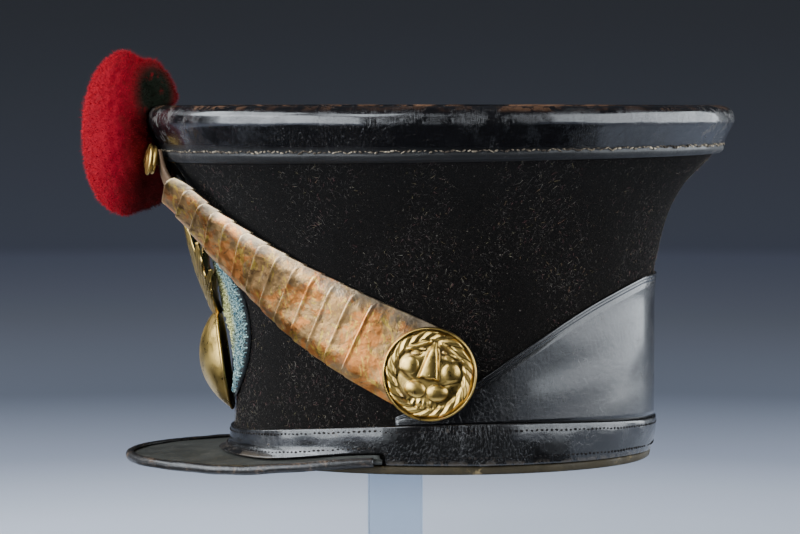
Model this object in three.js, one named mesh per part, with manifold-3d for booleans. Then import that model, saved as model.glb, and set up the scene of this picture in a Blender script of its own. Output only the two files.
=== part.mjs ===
// Shako hat with raised scale chin straps, on a clear display stand.
// Millimetres, +Z up, the hat's front towards -Y and its wearer's left towards +X.
// The origin is the middle of the stand's foot, on the surface that it stands on.
// Heights of the hat's own pieces are measured from the rim of its head opening.

import * as THREE from 'three';
import { mergeVertices } from 'three/addons/utils/BufferGeometryUtils.js';
import Module from 'manifold-3d';

const wasm = await Module();
wasm.setup();

// Clearances between pieces
const GAP = 0.3;
const SOFT_GAP = 0.6;

// Fineness of the faceted surfaces
const SEGMENTS_AROUND = 40;

// Felt body
const FELT_WALL = 2.5;
const FELT_TOP = 165;
const BASE_FRONT = 104;
const BASE_REAR = 101;
const BASE_HALF_WIDTH = 86;
const FRONT_FLARE = 37.5;
const REAR_FLARE = 34.5;
const SIDE_FLARE = 44;

// height is a share of FELT_TOP, front and rear are shares of the front and rear flares
const FELT_PROFILE = [
  { height: 0.0, front: 0.0, rear: -0.07 },
  { height: 0.12, front: 0.0, rear: 0.0 },
  { height: 0.3, front: 0.008, rear: 0.0 },
  { height: 0.46, front: 0.067, rear: 0.0 },
  { height: 0.55, front: 0.147, rear: 0.03 },
  { height: 0.61, front: 0.227, rear: 0.084 },
  { height: 0.7, front: 0.373, rear: 0.186 },
  { height: 0.76, front: 0.493, rear: 0.3 },
  { height: 0.82, front: 0.627, rear: 0.484 },
  { height: 0.88, front: 0.8, rear: 0.768 },
  { height: 0.91, front: 0.88, rear: 0.884 },
  { height: 1.0, front: 1.0, rear: 1.0 },
];
const FELT_INNER_ROWS = [1, 4, 7, 10];

// Rim strip, the leather turning under the felt and the bottom band
const RIM_STRIP_HEIGHT = 3.9;
const RIM_STRIP_STAND_OUT = 1.5;

// Bottom band
const BOTTOM_BAND_THICKNESS = 2;
const BOTTOM_BAND_TOP = 17.5;
const BOTTOM_BAND_REAR_RISE = 2.5;
const BOTTOM_BAND_SIDE_RISE = 6.5;
const BOTTOM_BAND_FRONT_FLARE = 6;

// Top band, a padded leather roll over the top edge of the felt
const TOP_BAND_HEIGHT = 25;
const TOP_BAND_BULGE = 5.4;
const TOP_BAND_REAR_RISE = 2;
const RIM_LIP = 3;

// up is a share of TOP_BAND_HEIGHT, out is a share of TOP_BAND_BULGE
const TOP_BAND_SECTION = [
  { up: 0.0, out: 0.45 },
  { up: 0.08, out: 0.65 },
  { up: 0.2, out: 0.5 },
  { up: 0.5, out: 0.8 },
  { up: 0.68, out: 1.0 },
  { up: 0.86, out: 0.85 },
  { up: 0.96, out: 0.4 },
  { up: 1.0, out: -0.3 },
  { up: 0.93, out: -0.95 },
];

// Crown
const CROWN_THICKNESS = 2.2;
const CROWN_SET_DOWN = 5;
const CROWN_EDGE_HEIGHT = FELT_TOP - CROWN_SET_DOWN;
const CROWN_DISH = 2;
const CROWN_RINGS = [0, 0.45, 0.85, 1];

// Peak and its rolled binding
const PEAK_TIP_REACH = 158;
const PEAK_ROOT_REACH = 28;
const PEAK_SIDE_OVERHANG = 2.5;
const PEAK_HALF_WIDTH = BASE_HALF_WIDTH + PEAK_SIDE_OVERHANG;
const PEAK_THICKNESS = 2.4;
const PEAK_EDGE_THICKNESS = 1.6;
const PEAK_EDGE_HEIGHT = 0.3;
const PEAK_HORN_RISE = 5.6;
const PEAK_FOOT_SHARE = 0.4;
const PEAK_FOOT_RISE_SHARE = 0.3;
const PEAK_REBATE_MOST = 0.9;
const PEAK_SECTIONS = 28;
const PEAK_SPAN_SHARE = 0.985;
const BINDING_SPAN_SHARE = 0.965;
const BINDING_RADIUS = 2.3;
const BINDING_WRAP = 2.7;
const BINDING_LIP_SHARE = 0.85;

// across is outwards and up is upwards, as shares of BINDING_RADIUS
const BINDING_SECTION = [
  { across: -0.25, up: 1.0 },
  { across: 0.62, up: 0.5 },
  { across: 0.62, up: -0.5 },
  { across: -0.25, up: -1.0 },
];

// Rear panel, around is in degrees from the hat's left side towards its rear
const REAR_PANEL_THICKNESS = 1.2;
const REAR_PANEL_HEIGHT = 90.5;
const REAR_PANEL_SECTIONS = 36;
const REAR_PANEL_EDGE = [
  { around: -13, height: 0.3 },
  { around: 8, height: 0.482 },
  { around: 19, height: 0.622 },
  { around: 33, height: 0.78 },
  { around: 44, height: 0.876 },
  { around: 57, height: 0.953 },
  { around: 70, height: 0.994 },
  { around: 90, height: 1.0 },
];

// Chin straps: leather, scales, boss plate, boss and button. The scales near the upper end
// turn sideways by STRAP_END_TURN, a share of their distance off the felt's own direction.
const STRAP_LEATHER = 1.8;
const STRAP_LEATHER_SHARE = 0.55;
const STRAP_LIFT = 10.6;
const SCALE_THICKNESS = 0.8;
const SCALE_COUNT = 12;
const SCALE_OVERLAP = 4;
const SCALE_CHAMFER = 3;
const SCALE_FLAT_SHARE = 0.62;
const SCALE_FLANGE_DROP = 1.8;
const STRAP_HALF_WIDTH_WIDE = 20;
const STRAP_HALF_WIDTH_NARROW = 12;
const STRAP_END_TURN = 0.3;
const STRAP_TAPER_POWER = 0.6;
const BOSS_PLATE_REACH = 38;
const BOSS_PLATE_RADIUS = 21.5;
const BOSS_PLATE_END = [78, 62, 40, 18];
const BOSS_DIAMETER = 44;
const BOSS_RIM_HEIGHT = 2.6;
const BOSS_FIELD_HEIGHT = 1.1;
const BOSS_SIDES = 28;
const BOSS_RINGS = [0, 0.15, 0.3, 0.45, 0.6, 0.72, 0.84];
const BOSS_RIM_INSIDE = 0.95;
const BOSS_RIM_EDGE_SHARE = 0.7;
const WREATH_RADIUS = 0.8;
const WREATH_HALF_WIDTH = 0.11;
const WREATH_HEIGHT = 0.5;
const WREATH_LOCKS = 15;
const WREATH_LOCK_SHARE = 0.3;

// The face, which leans by BOSS_FACE_TILT degrees. Each feature is mirrored across its middle.
// across, up and the half sizes are shares of the boss radius, high is a share of
// BOSS_RIM_HEIGHT. From the top: brows, nose, cheeks, muzzle and chin.
const BOSS_FACE_TILT = 11;
const BOSS_FEATURES = [
  { across: 0.34, up: 0.55, wide: 0.22, tall: 0.11, high: 0.8 },
  { across: 0.0, up: 0.2, wide: 0.15, tall: 0.36, high: 1.25 },
  { across: 0.43, up: 0.12, wide: 0.17, tall: 0.2, high: 0.9 },
  { across: 0.235, up: -0.36, wide: 0.19, tall: 0.16, high: 1.1 },
  { across: 0.0, up: -0.64, wide: 0.13, tall: 0.1, high: 0.7 },
];

// radius is a share of the button's radius, along a share of its depth
const BUTTON_DIAMETER = 15.3;
const BUTTON_DEPTH = 5.2;
const BUTTON_PROFILE = [
  { radius: 0.86, along: 0.0 },
  { radius: 0.86, along: 0.38 },
  { radius: 1.0, along: 0.46 },
  { radius: 1.0, along: 0.66 },
  { radius: 0.6, along: 0.92 },
  { radius: 0.0, along: 1.0 },
];
const BUTTON_SHANK_RADIUS = 2.2;
const BUTTON_SIDES = 10;
const TAB_HALF_WIDTH = 4.5;
const TAB_END_SHARE = 0.35;
const TAB_STATIONS = [0.35, 0.65, 1];
const STRAP_FOOT_SHARE = 0.6;

// The left strap's route: around in degrees from the hat's left side, height as a share of
// FELT_TOP, lift as a share of STRAP_LIFT off the felt. The boss sits on the second row.
const STRAP_ROUTE = [
  { around: 7.5, height: 0.221, lift: 0.19 },
  { around: -3.9, height: 0.291, lift: 0.19 },
  { around: -21.1, height: 0.384, lift: 0.1 },
  { around: -38.6, height: 0.487, lift: 0.12 },
  { around: -51.9, height: 0.5855, lift: 0.26 },
  { around: -65.3, height: 0.698, lift: 0.51 },
  { around: -70.0, height: 0.767, lift: 0.71 },
  { around: -74.1, height: 0.842, lift: 1.0 },
];
const BUTTON_PLACE = new THREE.Vector3(32, -140.5, 145.8);
const BUTTON_AXIS = new THREE.Vector3(0.2, -0.97, 0.137).normalize();

// Cockade and the flaming grenade on it
const COCKADE_DIAMETER = 82;
const COCKADE_THICKNESS = 3;
const COCKADE_HEIGHT = 68;
const COCKADE_SIDES = 26;
const BALL_DIAMETER = 50.8;
const BALL_DEPTH = 12.8;
const BALL_WALL = 1;
const BALL_PLACE = new THREE.Vector3(0, -108.6, 47.7);
const BALL_TILT = 8.3;
const BALL_SIDES = 20;
const FLAME_LENGTH = 50;
const FLAME_THICKNESS = 2.4;
const FLAME_LEAN = 21;
const FLAME_BEND_RADIUS = 80;
const FLAME_SINK = 3;
const FLAME_STAND_OFF = 0.7;
const FLAME_STATIONS = [0, 0.25, 0.5, 0.75, 1];
const FLAME_CURL = 1.4;
const FLAME_TIP_HALF_WIDTH = 0.6;
const FLAME_BACK_SHARE = 0.4;

// Each flame: root and tip sideways and up as shares of FLAME_LENGTH, and its width likewise
const FLAMES = [
  { root: 0.0, tip: 0.0, top: 1.0, width: 0.24 },
  { root: 0.08, tip: 0.26, top: 0.93, width: 0.22 },
  { root: 0.14, tip: 0.5, top: 0.74, width: 0.2 },
  { root: 0.16, tip: 0.58, top: 0.45, width: 0.16 },
];

// Pompom: two pressed lobes with locks of wool, and the wire that carries it
// forward is a lobe's centre in front of the felt's top edge, up its height over that edge
const POMPOM_FRONT_LOBE = { forward: 16.9, up: -7, deep: 19.6, tall: 40.5, wide: 35 };
const POMPOM_REAR_LOBE = { forward: 4.5, up: -7, deep: 16, tall: 37.5, wide: 20 };
const LOCK_COUNT = 40;
const LOCK_RADIUS = 6;
const LOCK_SINK = 3;
const LOCK_STAND_OUT = 1.6;
const STEM_RADIUS = 1.5;
const STEM_SIDES = 8;
const STEM_BOTTOM = 117;
const STEM_TOP = 138;

// Stand
const RIM_HEIGHT = 75;
const POST_FORWARD = 25;
const STAND_BASE_DIAMETER = 160;
const STAND_BASE_THICKNESS = 8;
const STAND_POST_WIDTH = 27;
const STAND_TOP_DIAMETER = 100;
const STAND_TOP_THICKNESS = 5;
const STAND_SIDES = 36;

const FINISHES = {
  felt: { color: 0x2a2420, roughness: 1.0, metalness: 0.0 },
  blackLeather: { color: 0x14151a, roughness: 0.3, metalness: 0.0 },
  peakLeather: { color: 0x2b2c29, roughness: 0.6, metalness: 0.0 },
  brownLeather: { color: 0x3a2718, roughness: 0.75, metalness: 0.0 },
  copperScale: { color: 0xb07a42, roughness: 0.38, metalness: 1.0 },
  brass: { color: 0xb08a3c, roughness: 0.35, metalness: 1.0 },
  blueWool: { color: 0x5f7f86, roughness: 1.0, metalness: 0.0 },
  redWool: { color: 0xa3131c, roughness: 1.0, metalness: 0.0 },
  steel: { color: 0x8a8880, roughness: 0.4, metalness: 1.0 },
  acrylic: { color: 0xe6eef4, roughness: 0.05, metalness: 0.0 },
};

const UP = new THREE.Vector3(0, 0, 1);
const radians = THREE.MathUtils.degToRad;
const lerp = THREE.MathUtils.lerp;
const clamp = THREE.MathUtils.clamp;
const smoothstep = THREE.MathUtils.smoothstep;

const hat = new THREE.Group();
hat.position.set(0, POST_FORWARD, RIM_HEIGHT);
const stand = new THREE.Group();

function addPiece(group, name, geometry, finish) {
  const mesh = new THREE.Mesh(geometry, new THREE.MeshStandardMaterial(FINISHES[finish]));
  mesh.name = name;
  group.add(mesh);
}

// The same piece on the left and, mirrored, on the right
function addPair(name, suffix, geometry, finish) {
  addPiece(hat, `${name}_left${suffix}`, geometry, finish);
  addPiece(hat, `${name}_right${suffix}`, mirrored(geometry), finish);
}

function mirrored(geometry) {
  const source = geometry.getAttribute('position');
  const position = source.clone();
  for (let i = 0; i < position.count; i += 1) {
    position.setX(i, -source.getX(i));
  }
  return bodyFromFaces(position.array, Array.from(geometry.index.array));
}

// Closed bodies from points and triangles

function signedVolume(points, faces) {
  const corner = (index) => new THREE.Vector3().fromArray(points, index * 3);
  let volume = 0;
  for (let i = 0; i < faces.length; i += 3) {
    const a = corner(faces[i]);
    const b = corner(faces[i + 1]);
    const c = corner(faces[i + 2]);
    volume += a.dot(b.cross(c)) / 6;
  }
  return volume;
}

function bodyFromFaces(points, faces) {
  const ordered = [...faces];
  if (signedVolume(points, faces) < 0) {
    ordered.reverse();
  }
  const geometry = new THREE.BufferGeometry();
  geometry.setAttribute('position', new THREE.BufferAttribute(new Float32Array(points), 3));
  geometry.setIndex(ordered);
  geometry.computeVertexNormals();
  return geometry;
}

// Joins rings of points one after the other. A ring of one point is a pole. An open row of
// rings gets an end cap that pairs the points of its first and second half.
function bodyFromRings(rings, closed = false) {
  const starts = [];
  const points = [];
  rings.forEach((ring) => {
    starts.push(points.length / 3);
    ring.forEach((point) => points.push(point.x, point.y, point.z));
  });
  const sides = Math.max(...rings.map((ring) => ring.length));
  const at = (ring, k) => starts[ring] + (rings[ring].length === 1 ? 0 : k % sides);
  const faces = [];
  const addQuad = (a, b, c, d) => {
    if (a !== b && b !== c) {
      faces.push(a, b, c);
    }
    if (c !== d && d !== a) {
      faces.push(a, c, d);
    }
  };
  const pairs = closed ? rings.length : rings.length - 1;
  for (let i = 0; i < pairs; i += 1) {
    const next = (i + 1) % rings.length;
    for (let k = 0; k < sides; k += 1) {
      addQuad(at(i, k), at(i, k + 1), at(next, k + 1), at(next, k));
    }
  }
  const last = rings.length - 1;
  for (let k = 0; !closed && k < sides / 2 - 1; k += 1) {
    const far = sides - 1 - k;
    if (rings[0].length > 1) {
      addQuad(at(0, far), at(0, far - 1), at(0, k + 1), at(0, k));
    }
    if (rings[last].length > 1) {
      addQuad(at(last, k), at(last, k + 1), at(last, far - 1), at(last, far));
    }
  }
  return bodyFromFaces(points, faces);
}

// Boolean joins and cuts

function toSolid(geometry) {
  const bare = new THREE.BufferGeometry();
  bare.setAttribute('position', geometry.getAttribute('position'));
  bare.setIndex(geometry.index);
  const merged = mergeVertices(bare, 1e-4);
  return new wasm.Manifold(new wasm.Mesh({
    numProp: 3,
    vertProperties: new Float32Array(merged.getAttribute('position').array),
    triVerts: new Uint32Array(merged.index.array),
  }));
}

function fromSolid(solid) {
  const mesh = solid.getMesh();
  return bodyFromFaces(Array.from(mesh.vertProperties), Array.from(mesh.triVerts));
}

function joined(geometries) {
  return fromSolid(geometries.map(toSolid).reduce((whole, next) => whole.add(next)));
}

function cut(geometry, cutters) {
  return fromSolid(cutters.map(toSolid).reduce((whole, next) => whole.subtract(next), toSolid(geometry)));
}

// A lathed body whose axis points along `axis` from `place`
function lathed(outline, sides, place, axis) {
  const points = outline.map(([radius, along]) => new THREE.Vector2(radius, along));
  const geometry = new THREE.LatheGeometry(points, sides);
  geometry.applyQuaternion(new THREE.Quaternion().setFromUnitVectors(new THREE.Vector3(0, 1, 0), axis));
  geometry.translate(place.x, place.y, place.z);
  geometry.deleteAttribute('normal');
  geometry.deleteAttribute('uv');
  const merged = mergeVertices(geometry, 1e-4);
  const faces = Array.from(merged.index.array);
  const kept = [];
  for (let i = 0; i < faces.length; i += 3) {
    const [a, b, c] = faces.slice(i, i + 3);
    if (a !== b && b !== c && c !== a) {
      kept.push(a, b, c);
    }
  }
  return bodyFromFaces(merged.getAttribute('position').array, kept);
}

// An ellipsoid with its poles along Z
function ellipsoid(place, half, sides, rows) {
  const rings = [];
  for (let row = 0; row <= rows; row += 1) {
    const tilt = Math.PI * (row / rows - 0.5);
    const spread = Math.cos(tilt);
    const count = row === 0 || row === rows ? 1 : sides;
    rings.push(Array.from({ length: count }, (_, k) => {
      const turn = (2 * Math.PI * k) / sides;
      return new THREE.Vector3(
        place.x + half.x * spread * Math.cos(turn),
        place.y + half.y * spread * Math.sin(turn),
        place.z + half.z * Math.sin(tilt),
      );
    }));
  }
  return bodyFromRings(rings);
}

// The felt's outer surface, which everything on the hat follows

function rowAt(rows, key, value) {
  const last = rows[rows.length - 1];
  const clamped = clamp(value, rows[0][key], last[key]);
  const next = Math.max(1, rows.findIndex((row) => row[key] >= clamped));
  const [low, high] = [rows[next - 1], rows[next]];
  const share = (clamped - low[key]) / (high[key] - low[key]);
  return (column) => lerp(low[column], high[column], share);
}

function feltPoint(angle, height) {
  const row = rowAt(FELT_PROFILE, 'height', height / FELT_TOP);
  const front = BASE_FRONT + FRONT_FLARE * row('front');
  const rear = BASE_REAR + REAR_FLARE * row('rear');
  const halfWidth = BASE_HALF_WIDTH + (SIDE_FLARE * (row('front') + row('rear'))) / 2;
  return new THREE.Vector3(
    halfWidth * Math.cos(angle),
    (rear - front) / 2 + ((rear + front) / 2) * Math.sin(angle),
    height,
  );
}

// A normal is taken over this distance up and down the felt
const NORMAL_REACH = FELT_TOP * 0.024;

function feltNormal(angle, height) {
  const turn = 0.01;
  const middle = clamp(height, NORMAL_REACH, FELT_TOP - NORMAL_REACH);
  const around = feltPoint(angle + turn, middle).sub(feltPoint(angle - turn, middle));
  const upwards = feltPoint(angle, middle + NORMAL_REACH).sub(feltPoint(angle, middle - NORMAL_REACH));
  return around.cross(upwards).normalize();
}

function levelNormal(angle, height) {
  return feltNormal(angle, height).setZ(0).normalize();
}

function offFelt(angle, height, distance) {
  return feltPoint(angle, height).addScaledVector(feltNormal(angle, height), distance);
}

function outFromFelt(angle, height, distance) {
  return feltPoint(angle, height).addScaledVector(levelNormal(angle, height), distance).setZ(height);
}

const ANGLES = Array.from({ length: SEGMENTS_AROUND }, (_, i) => (2 * Math.PI * i) / SEGMENTS_AROUND);

// Felt body

const FELT_BOTTOM = RIM_STRIP_HEIGHT + GAP;
const FELT_ROWS = FELT_PROFILE.slice(1).map((row) => row.height * FELT_TOP);

function feltBody() {
  const outer = [FELT_BOTTOM, ...FELT_ROWS];
  const inner = [FELT_BOTTOM, ...FELT_INNER_ROWS.map((row) => FELT_PROFILE[row].height * FELT_TOP), FELT_TOP];
  const loops = ANGLES.map((angle) => [
    ...outer.map((height) => feltPoint(angle, height)),
    ...inner.map((height) => outFromFelt(angle, height, -FELT_WALL)).reverse(),
  ]);
  return bodyFromRings(loops, true);
}

function rimStrip() {
  const inside = -FELT_WALL;
  const bevel = RIM_STRIP_HEIGHT / 3;
  const loops = ANGLES.map((angle) => [
    outFromFelt(angle, RIM_STRIP_HEIGHT, inside),
    outFromFelt(angle, 0, inside + bevel),
    outFromFelt(angle, 0, RIM_STRIP_STAND_OUT - bevel),
    outFromFelt(angle, bevel, RIM_STRIP_STAND_OUT),
    outFromFelt(angle, RIM_STRIP_HEIGHT, RIM_STRIP_STAND_OUT),
  ]);
  return bodyFromRings(loops, true);
}

// Peak and bottom band: the peak's inner edge lies under the band, whose lower edge rises
// towards the peak's two horns and turns outwards over the peak's front

const HORN_ANGLE = Math.asin(-PEAK_ROOT_REACH / ((BASE_FRONT + BASE_REAR) / 2));

// The band's lower edge steps down over this angle behind a horn
const HORN_STEP = radians(1.5);
const HORN_SHARE_MOST = 1 + HORN_STEP / Math.PI;

// 0 at the front middle, 1 at a horn, more behind it
function hornShare(angle) {
  const fromFront = Math.acos(clamp(-Math.sin(angle), -1, 1));
  return fromFront / (Math.PI / 2 + HORN_ANGLE);
}

function bottomBandLow(angle) {
  const share = hornShare(angle);
  const rise = PEAK_HORN_RISE * smoothstep(share, 0.45, 1);
  return FELT_BOTTOM + (share > HORN_SHARE_MOST ? 0 : rise);
}

function bottomBandHigh(angle) {
  const sideways = Math.cos(angle) ** 2;
  return BOTTOM_BAND_TOP + BOTTOM_BAND_REAR_RISE * Math.sin(angle) + BOTTOM_BAND_SIDE_RISE * sideways;
}

// The usual angles, and one more on each side of both horns
function bottomBandAngles() {
  const steps = [HORN_ANGLE, HORN_ANGLE + HORN_STEP].flatMap((angle) => [angle, -Math.PI - angle]);
  const turned = steps.map((angle) => angle + 2 * Math.PI);
  return [...ANGLES, ...turned].sort((a, b) => a - b);
}

function bottomBand() {
  const outside = GAP + BOTTOM_BAND_THICKNESS;
  const bevel = BOTTOM_BAND_THICKNESS / 3;
  const loops = bottomBandAngles().map((angle) => {
    const low = bottomBandLow(angle);
    const high = bottomBandHigh(angle);
    const flare = BOTTOM_BAND_FRONT_FLARE * (1 - smoothstep(hornShare(angle), 0.3, 1));
    const bend = lerp(low, high, 0.4);
    return [
      outFromFelt(angle, low, GAP),
      outFromFelt(angle, Math.min(FELT_ROWS[0], high - bevel), GAP),
      outFromFelt(angle, high, GAP),
      outFromFelt(angle, high, outside - bevel),
      outFromFelt(angle, high - bevel, outside),
      outFromFelt(angle, bend, outside + flare * 0.12),
      outFromFelt(angle, lerp(low, bend, 0.35), outside + flare * 0.5),
      outFromFelt(angle, low, outside + flare),
    ];
  });
  return bodyFromRings(loops, true);
}

const PEAK_EDGE_INSET = BINDING_RADIUS * BINDING_SECTION[1].across + GAP;

// share runs from -1 at the right horn over 0 at the tip to 1 at the left horn
function peakAngle(share) {
  return -Math.PI / 2 + share * (Math.PI / 2 + HORN_ANGLE);
}

function peakHeight(share) {
  return PEAK_EDGE_HEIGHT + PEAK_HORN_RISE * smoothstep(Math.abs(share), 0.55, 1);
}

function peakEdge(share) {
  const turn = -Math.PI / 2 + (share * Math.PI) / 2;
  const depth = PEAK_TIP_REACH - PEAK_ROOT_REACH;
  const point = new THREE.Vector3(
    PEAK_HALF_WIDTH * Math.cos(turn),
    -PEAK_ROOT_REACH + depth * Math.sin(turn),
    peakHeight(share),
  );
  const outwards = new THREE.Vector3(depth * Math.cos(turn), PEAK_HALF_WIDTH * Math.sin(turn), 0).normalize();
  return point.addScaledVector(outwards, -PEAK_EDGE_INSET);
}

// Shares from horn to horn, or a little inside both horns
function peakShares(most) {
  return Array.from({ length: PEAK_SECTIONS + 1 }, (_, i) => most * ((2 * i) / PEAK_SECTIONS - 1));
}

// The middle line of the peak at one share: its inner edge under the band, the foot of the
// fillet there, and its outer edge, with the directions that the binding follows
function peakLine(share) {
  const angle = peakAngle(share);
  const low = bottomBandLow(angle) - SOFT_GAP - PEAK_THICKNESS / 2;
  const inner = outFromFelt(angle, low, RIM_STRIP_STAND_OUT + GAP);
  const outer = peakEdge(share);
  const foot = inner.clone().lerp(outer, PEAK_FOOT_SHARE);
  foot.z = lerp(outer.z, inner.z, PEAK_FOOT_RISE_SHARE);
  const step = 0.02;
  const along = peakEdge(share + step).sub(peakEdge(share - step)).normalize();
  const outwards = outer.clone().sub(foot);
  outwards.addScaledVector(along, -outwards.dot(along)).normalize();
  const upwards = outwards.clone().cross(along);
  upwards.multiplyScalar(Math.sign(upwards.z)).normalize();
  const width = outer.distanceTo(foot);
  const rebateDepth = Math.min(BINDING_WRAP + GAP, width * PEAK_REBATE_MOST);
  const rebate = outer.clone().addScaledVector(outwards, -rebateDepth);
  return { inner, foot, rebate, outer, outwards, upwards };
}

function peak() {
  return bodyFromRings(peakShares(PEAK_SPAN_SHARE).map((share) => {
    const { inner, foot, rebate, outer, upwards } = peakLine(share);
    const line = [
      { point: inner, half: PEAK_THICKNESS / 2 },
      { point: foot, half: PEAK_THICKNESS / 2 },
      { point: rebate, half: PEAK_EDGE_THICKNESS / 2 },
      { point: outer, half: PEAK_EDGE_THICKNESS / 2 },
    ];
    const top = line.map(({ point, half }) => point.clone().addScaledVector(upwards, half));
    const bottom = line.map(({ point, half }) => point.clone().addScaledVector(upwards, -half));
    return [...top, ...bottom.reverse()];
  }));
}

function peakBinding() {
  const slot = PEAK_EDGE_THICKNESS / 2 + GAP;
  return bodyFromRings(peakShares(BINDING_SPAN_SHARE).map((share) => {
    const { outer, outwards, upwards } = peakLine(share);
    const place = (across, up) => outer.clone()
      .addScaledVector(outwards, across + GAP)
      .addScaledVector(upwards, up);
    return [
      place(-BINDING_WRAP, slot),
      place(-BINDING_WRAP, BINDING_RADIUS * BINDING_LIP_SHARE),
      ...BINDING_SECTION.map(({ across, up }) => place(across * BINDING_RADIUS, up * BINDING_RADIUS)),
      place(-BINDING_WRAP, -BINDING_RADIUS * BINDING_LIP_SHARE),
      place(-BINDING_WRAP, -slot),
      place(0, -slot),
      place(0, slot),
    ];
  }));
}

// Top band and crown

function topBandPoint(angle, row) {
  const tilt = (TOP_BAND_REAR_RISE * Math.sin(angle)) * (1 - row.up);
  const low = FELT_TOP + RIM_LIP + TOP_BAND_BULGE * 0.75 - TOP_BAND_HEIGHT;
  const height = low + row.up * TOP_BAND_HEIGHT + tilt;
  const foot = feltPoint(angle, Math.min(height, FELT_TOP));
  return foot.addScaledVector(levelNormal(angle, height), row.out * TOP_BAND_BULGE).setZ(height);
}

function topBand() {
  const inside = -(FELT_WALL + GAP);
  const lipEnd = CROWN_EDGE_HEIGHT + GAP;
  const over = FELT_TOP + GAP;
  const loops = ANGLES.map((angle) => [
    outFromFelt(angle, topBandPoint(angle, TOP_BAND_SECTION[0]).z, SOFT_GAP),
    ...TOP_BAND_SECTION.map((row) => topBandPoint(angle, row)),
    outFromFelt(angle, lipEnd, inside - RIM_LIP),
    outFromFelt(angle, lipEnd, inside),
    outFromFelt(angle, FELT_TOP, inside).setZ(over),
    outFromFelt(angle, FELT_TOP, SOFT_GAP).setZ(over),
    outFromFelt(angle, FELT_PROFILE[FELT_PROFILE.length - 2].height * FELT_TOP, SOFT_GAP),
  ]);
  return bodyFromRings(loops, true);
}

function crownRing(share, drop) {
  const height = CROWN_EDGE_HEIGHT - CROWN_DISH * (1 - share ** 2) - drop;
  if (share === 0) {
    return [new THREE.Vector3(0, 0, height)];
  }
  return ANGLES.map((angle) => {
    const edge = outFromFelt(angle, CROWN_EDGE_HEIGHT - CROWN_THICKNESS, -(FELT_WALL + GAP));
    return edge.multiplyScalar(share).setZ(height);
  });
}

function crown() {
  const top = CROWN_RINGS.map((share) => crownRing(share, 0));
  const bottom = CROWN_RINGS.map((share) => crownRing(share, CROWN_THICKNESS));
  return bodyFromRings([...top, ...bottom.reverse()]);
}

// Rear panel

function rearPanel() {
  const rows = REAR_PANEL_EDGE.map((row) => ({ ...row, around: radians(row.around) }));
  const start = rows[0].around;
  const span = Math.PI - 2 * start;
  const sections = Array.from({ length: REAR_PANEL_SECTIONS + 1 }, (_, i) => {
    const angle = start + (span * i) / REAR_PANEL_SECTIONS;
    const folded = Math.min(angle, Math.PI - angle);
    const low = bottomBandHigh(angle) + GAP;
    const high = Math.max(low + 1, REAR_PANEL_HEIGHT * rowAt(rows, 'around', folded)('height'));
    const middle = clamp(FELT_ROWS[2], lerp(low, high, 0.1), lerp(low, high, 0.9));
    const outerFace = GAP + REAR_PANEL_THICKNESS;
    const inside = [low, middle, high].map((height) => outFromFelt(angle, height, GAP));
    const outside = [high, middle, low].map((height) => outFromFelt(angle, height, outerFace));
    return [...inside, ...outside];
  });
  return bodyFromRings(sections);
}

// Chin straps. A frame on the strap has `along` towards its upper end, `across` towards its
// upper edge and `out` away from the felt.

const ROUTE_CURVE = new THREE.CatmullRomCurve3(STRAP_ROUTE.map((row) => new THREE.Vector3(
  radians(row.around),
  row.height * FELT_TOP,
  row.lift * STRAP_LIFT,
)));
const ROUTE_STEPS = 280;
const ROUTE_POINTS = Array.from({ length: ROUTE_STEPS + 1 }, (_, i) => {
  const at = ROUTE_CURVE.getPoint(i / ROUTE_STEPS);
  const turn = STRAP_END_TURN * smoothstep(i / ROUTE_STEPS, 0.45, 1);
  const out = feltNormal(at.x, at.y).addScaledVector(new THREE.Vector3(1, 0, 0), turn);
  return { place: offFelt(at.x, at.y, at.z), out: out.normalize() };
});
ROUTE_POINTS.forEach((point, i) => {
  const before = ROUTE_POINTS[Math.max(i - 1, 0)];
  point.distance = i === 0 ? 0 : before.distance + point.place.distanceTo(before.place);
});
const BOSS_DISTANCE = ROUTE_POINTS[ROUTE_STEPS / (STRAP_ROUTE.length - 1)].distance;
const STRAP_END = ROUTE_POINTS[ROUTE_STEPS].distance - BOSS_DISTANCE;

// distance is measured along the strap from the boss towards the strap's upper end
function strapFrame(distance) {
  const next = Math.max(1, ROUTE_POINTS.findIndex((point) => point.distance >= distance + BOSS_DISTANCE));
  const [low, high] = [ROUTE_POINTS[next - 1], ROUTE_POINTS[next]];
  const share = (distance + BOSS_DISTANCE - low.distance) / (high.distance - low.distance);
  const along = high.place.clone().sub(low.place).normalize();
  const out = low.out.clone().lerp(high.out, share);
  out.addScaledVector(along, -out.dot(along)).normalize();
  const across = along.clone().cross(out).normalize();
  return { place: low.place.clone().lerp(high.place, share), along, across, out };
}

function strapHalfWidth(distance) {
  const share = clamp((STRAP_END - distance) / (STRAP_END - BOSS_PLATE_REACH), 0, 1.2);
  return lerp(STRAP_HALF_WIDTH_NARROW, STRAP_HALF_WIDTH_WIDE, share ** STRAP_TAPER_POWER);
}

function onStrap(distance, across, out) {
  const frame = strapFrame(distance);
  return frame.place.addScaledVector(frame.across, across).addScaledVector(frame.out, out);
}

const SCALE_FOOT = STRAP_LEATHER + GAP;
const SCALE_STEP = SCALE_THICKNESS + GAP;
const SCALE_PITCH = (STRAP_END - BOSS_PLATE_REACH) / SCALE_COUNT;

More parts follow.
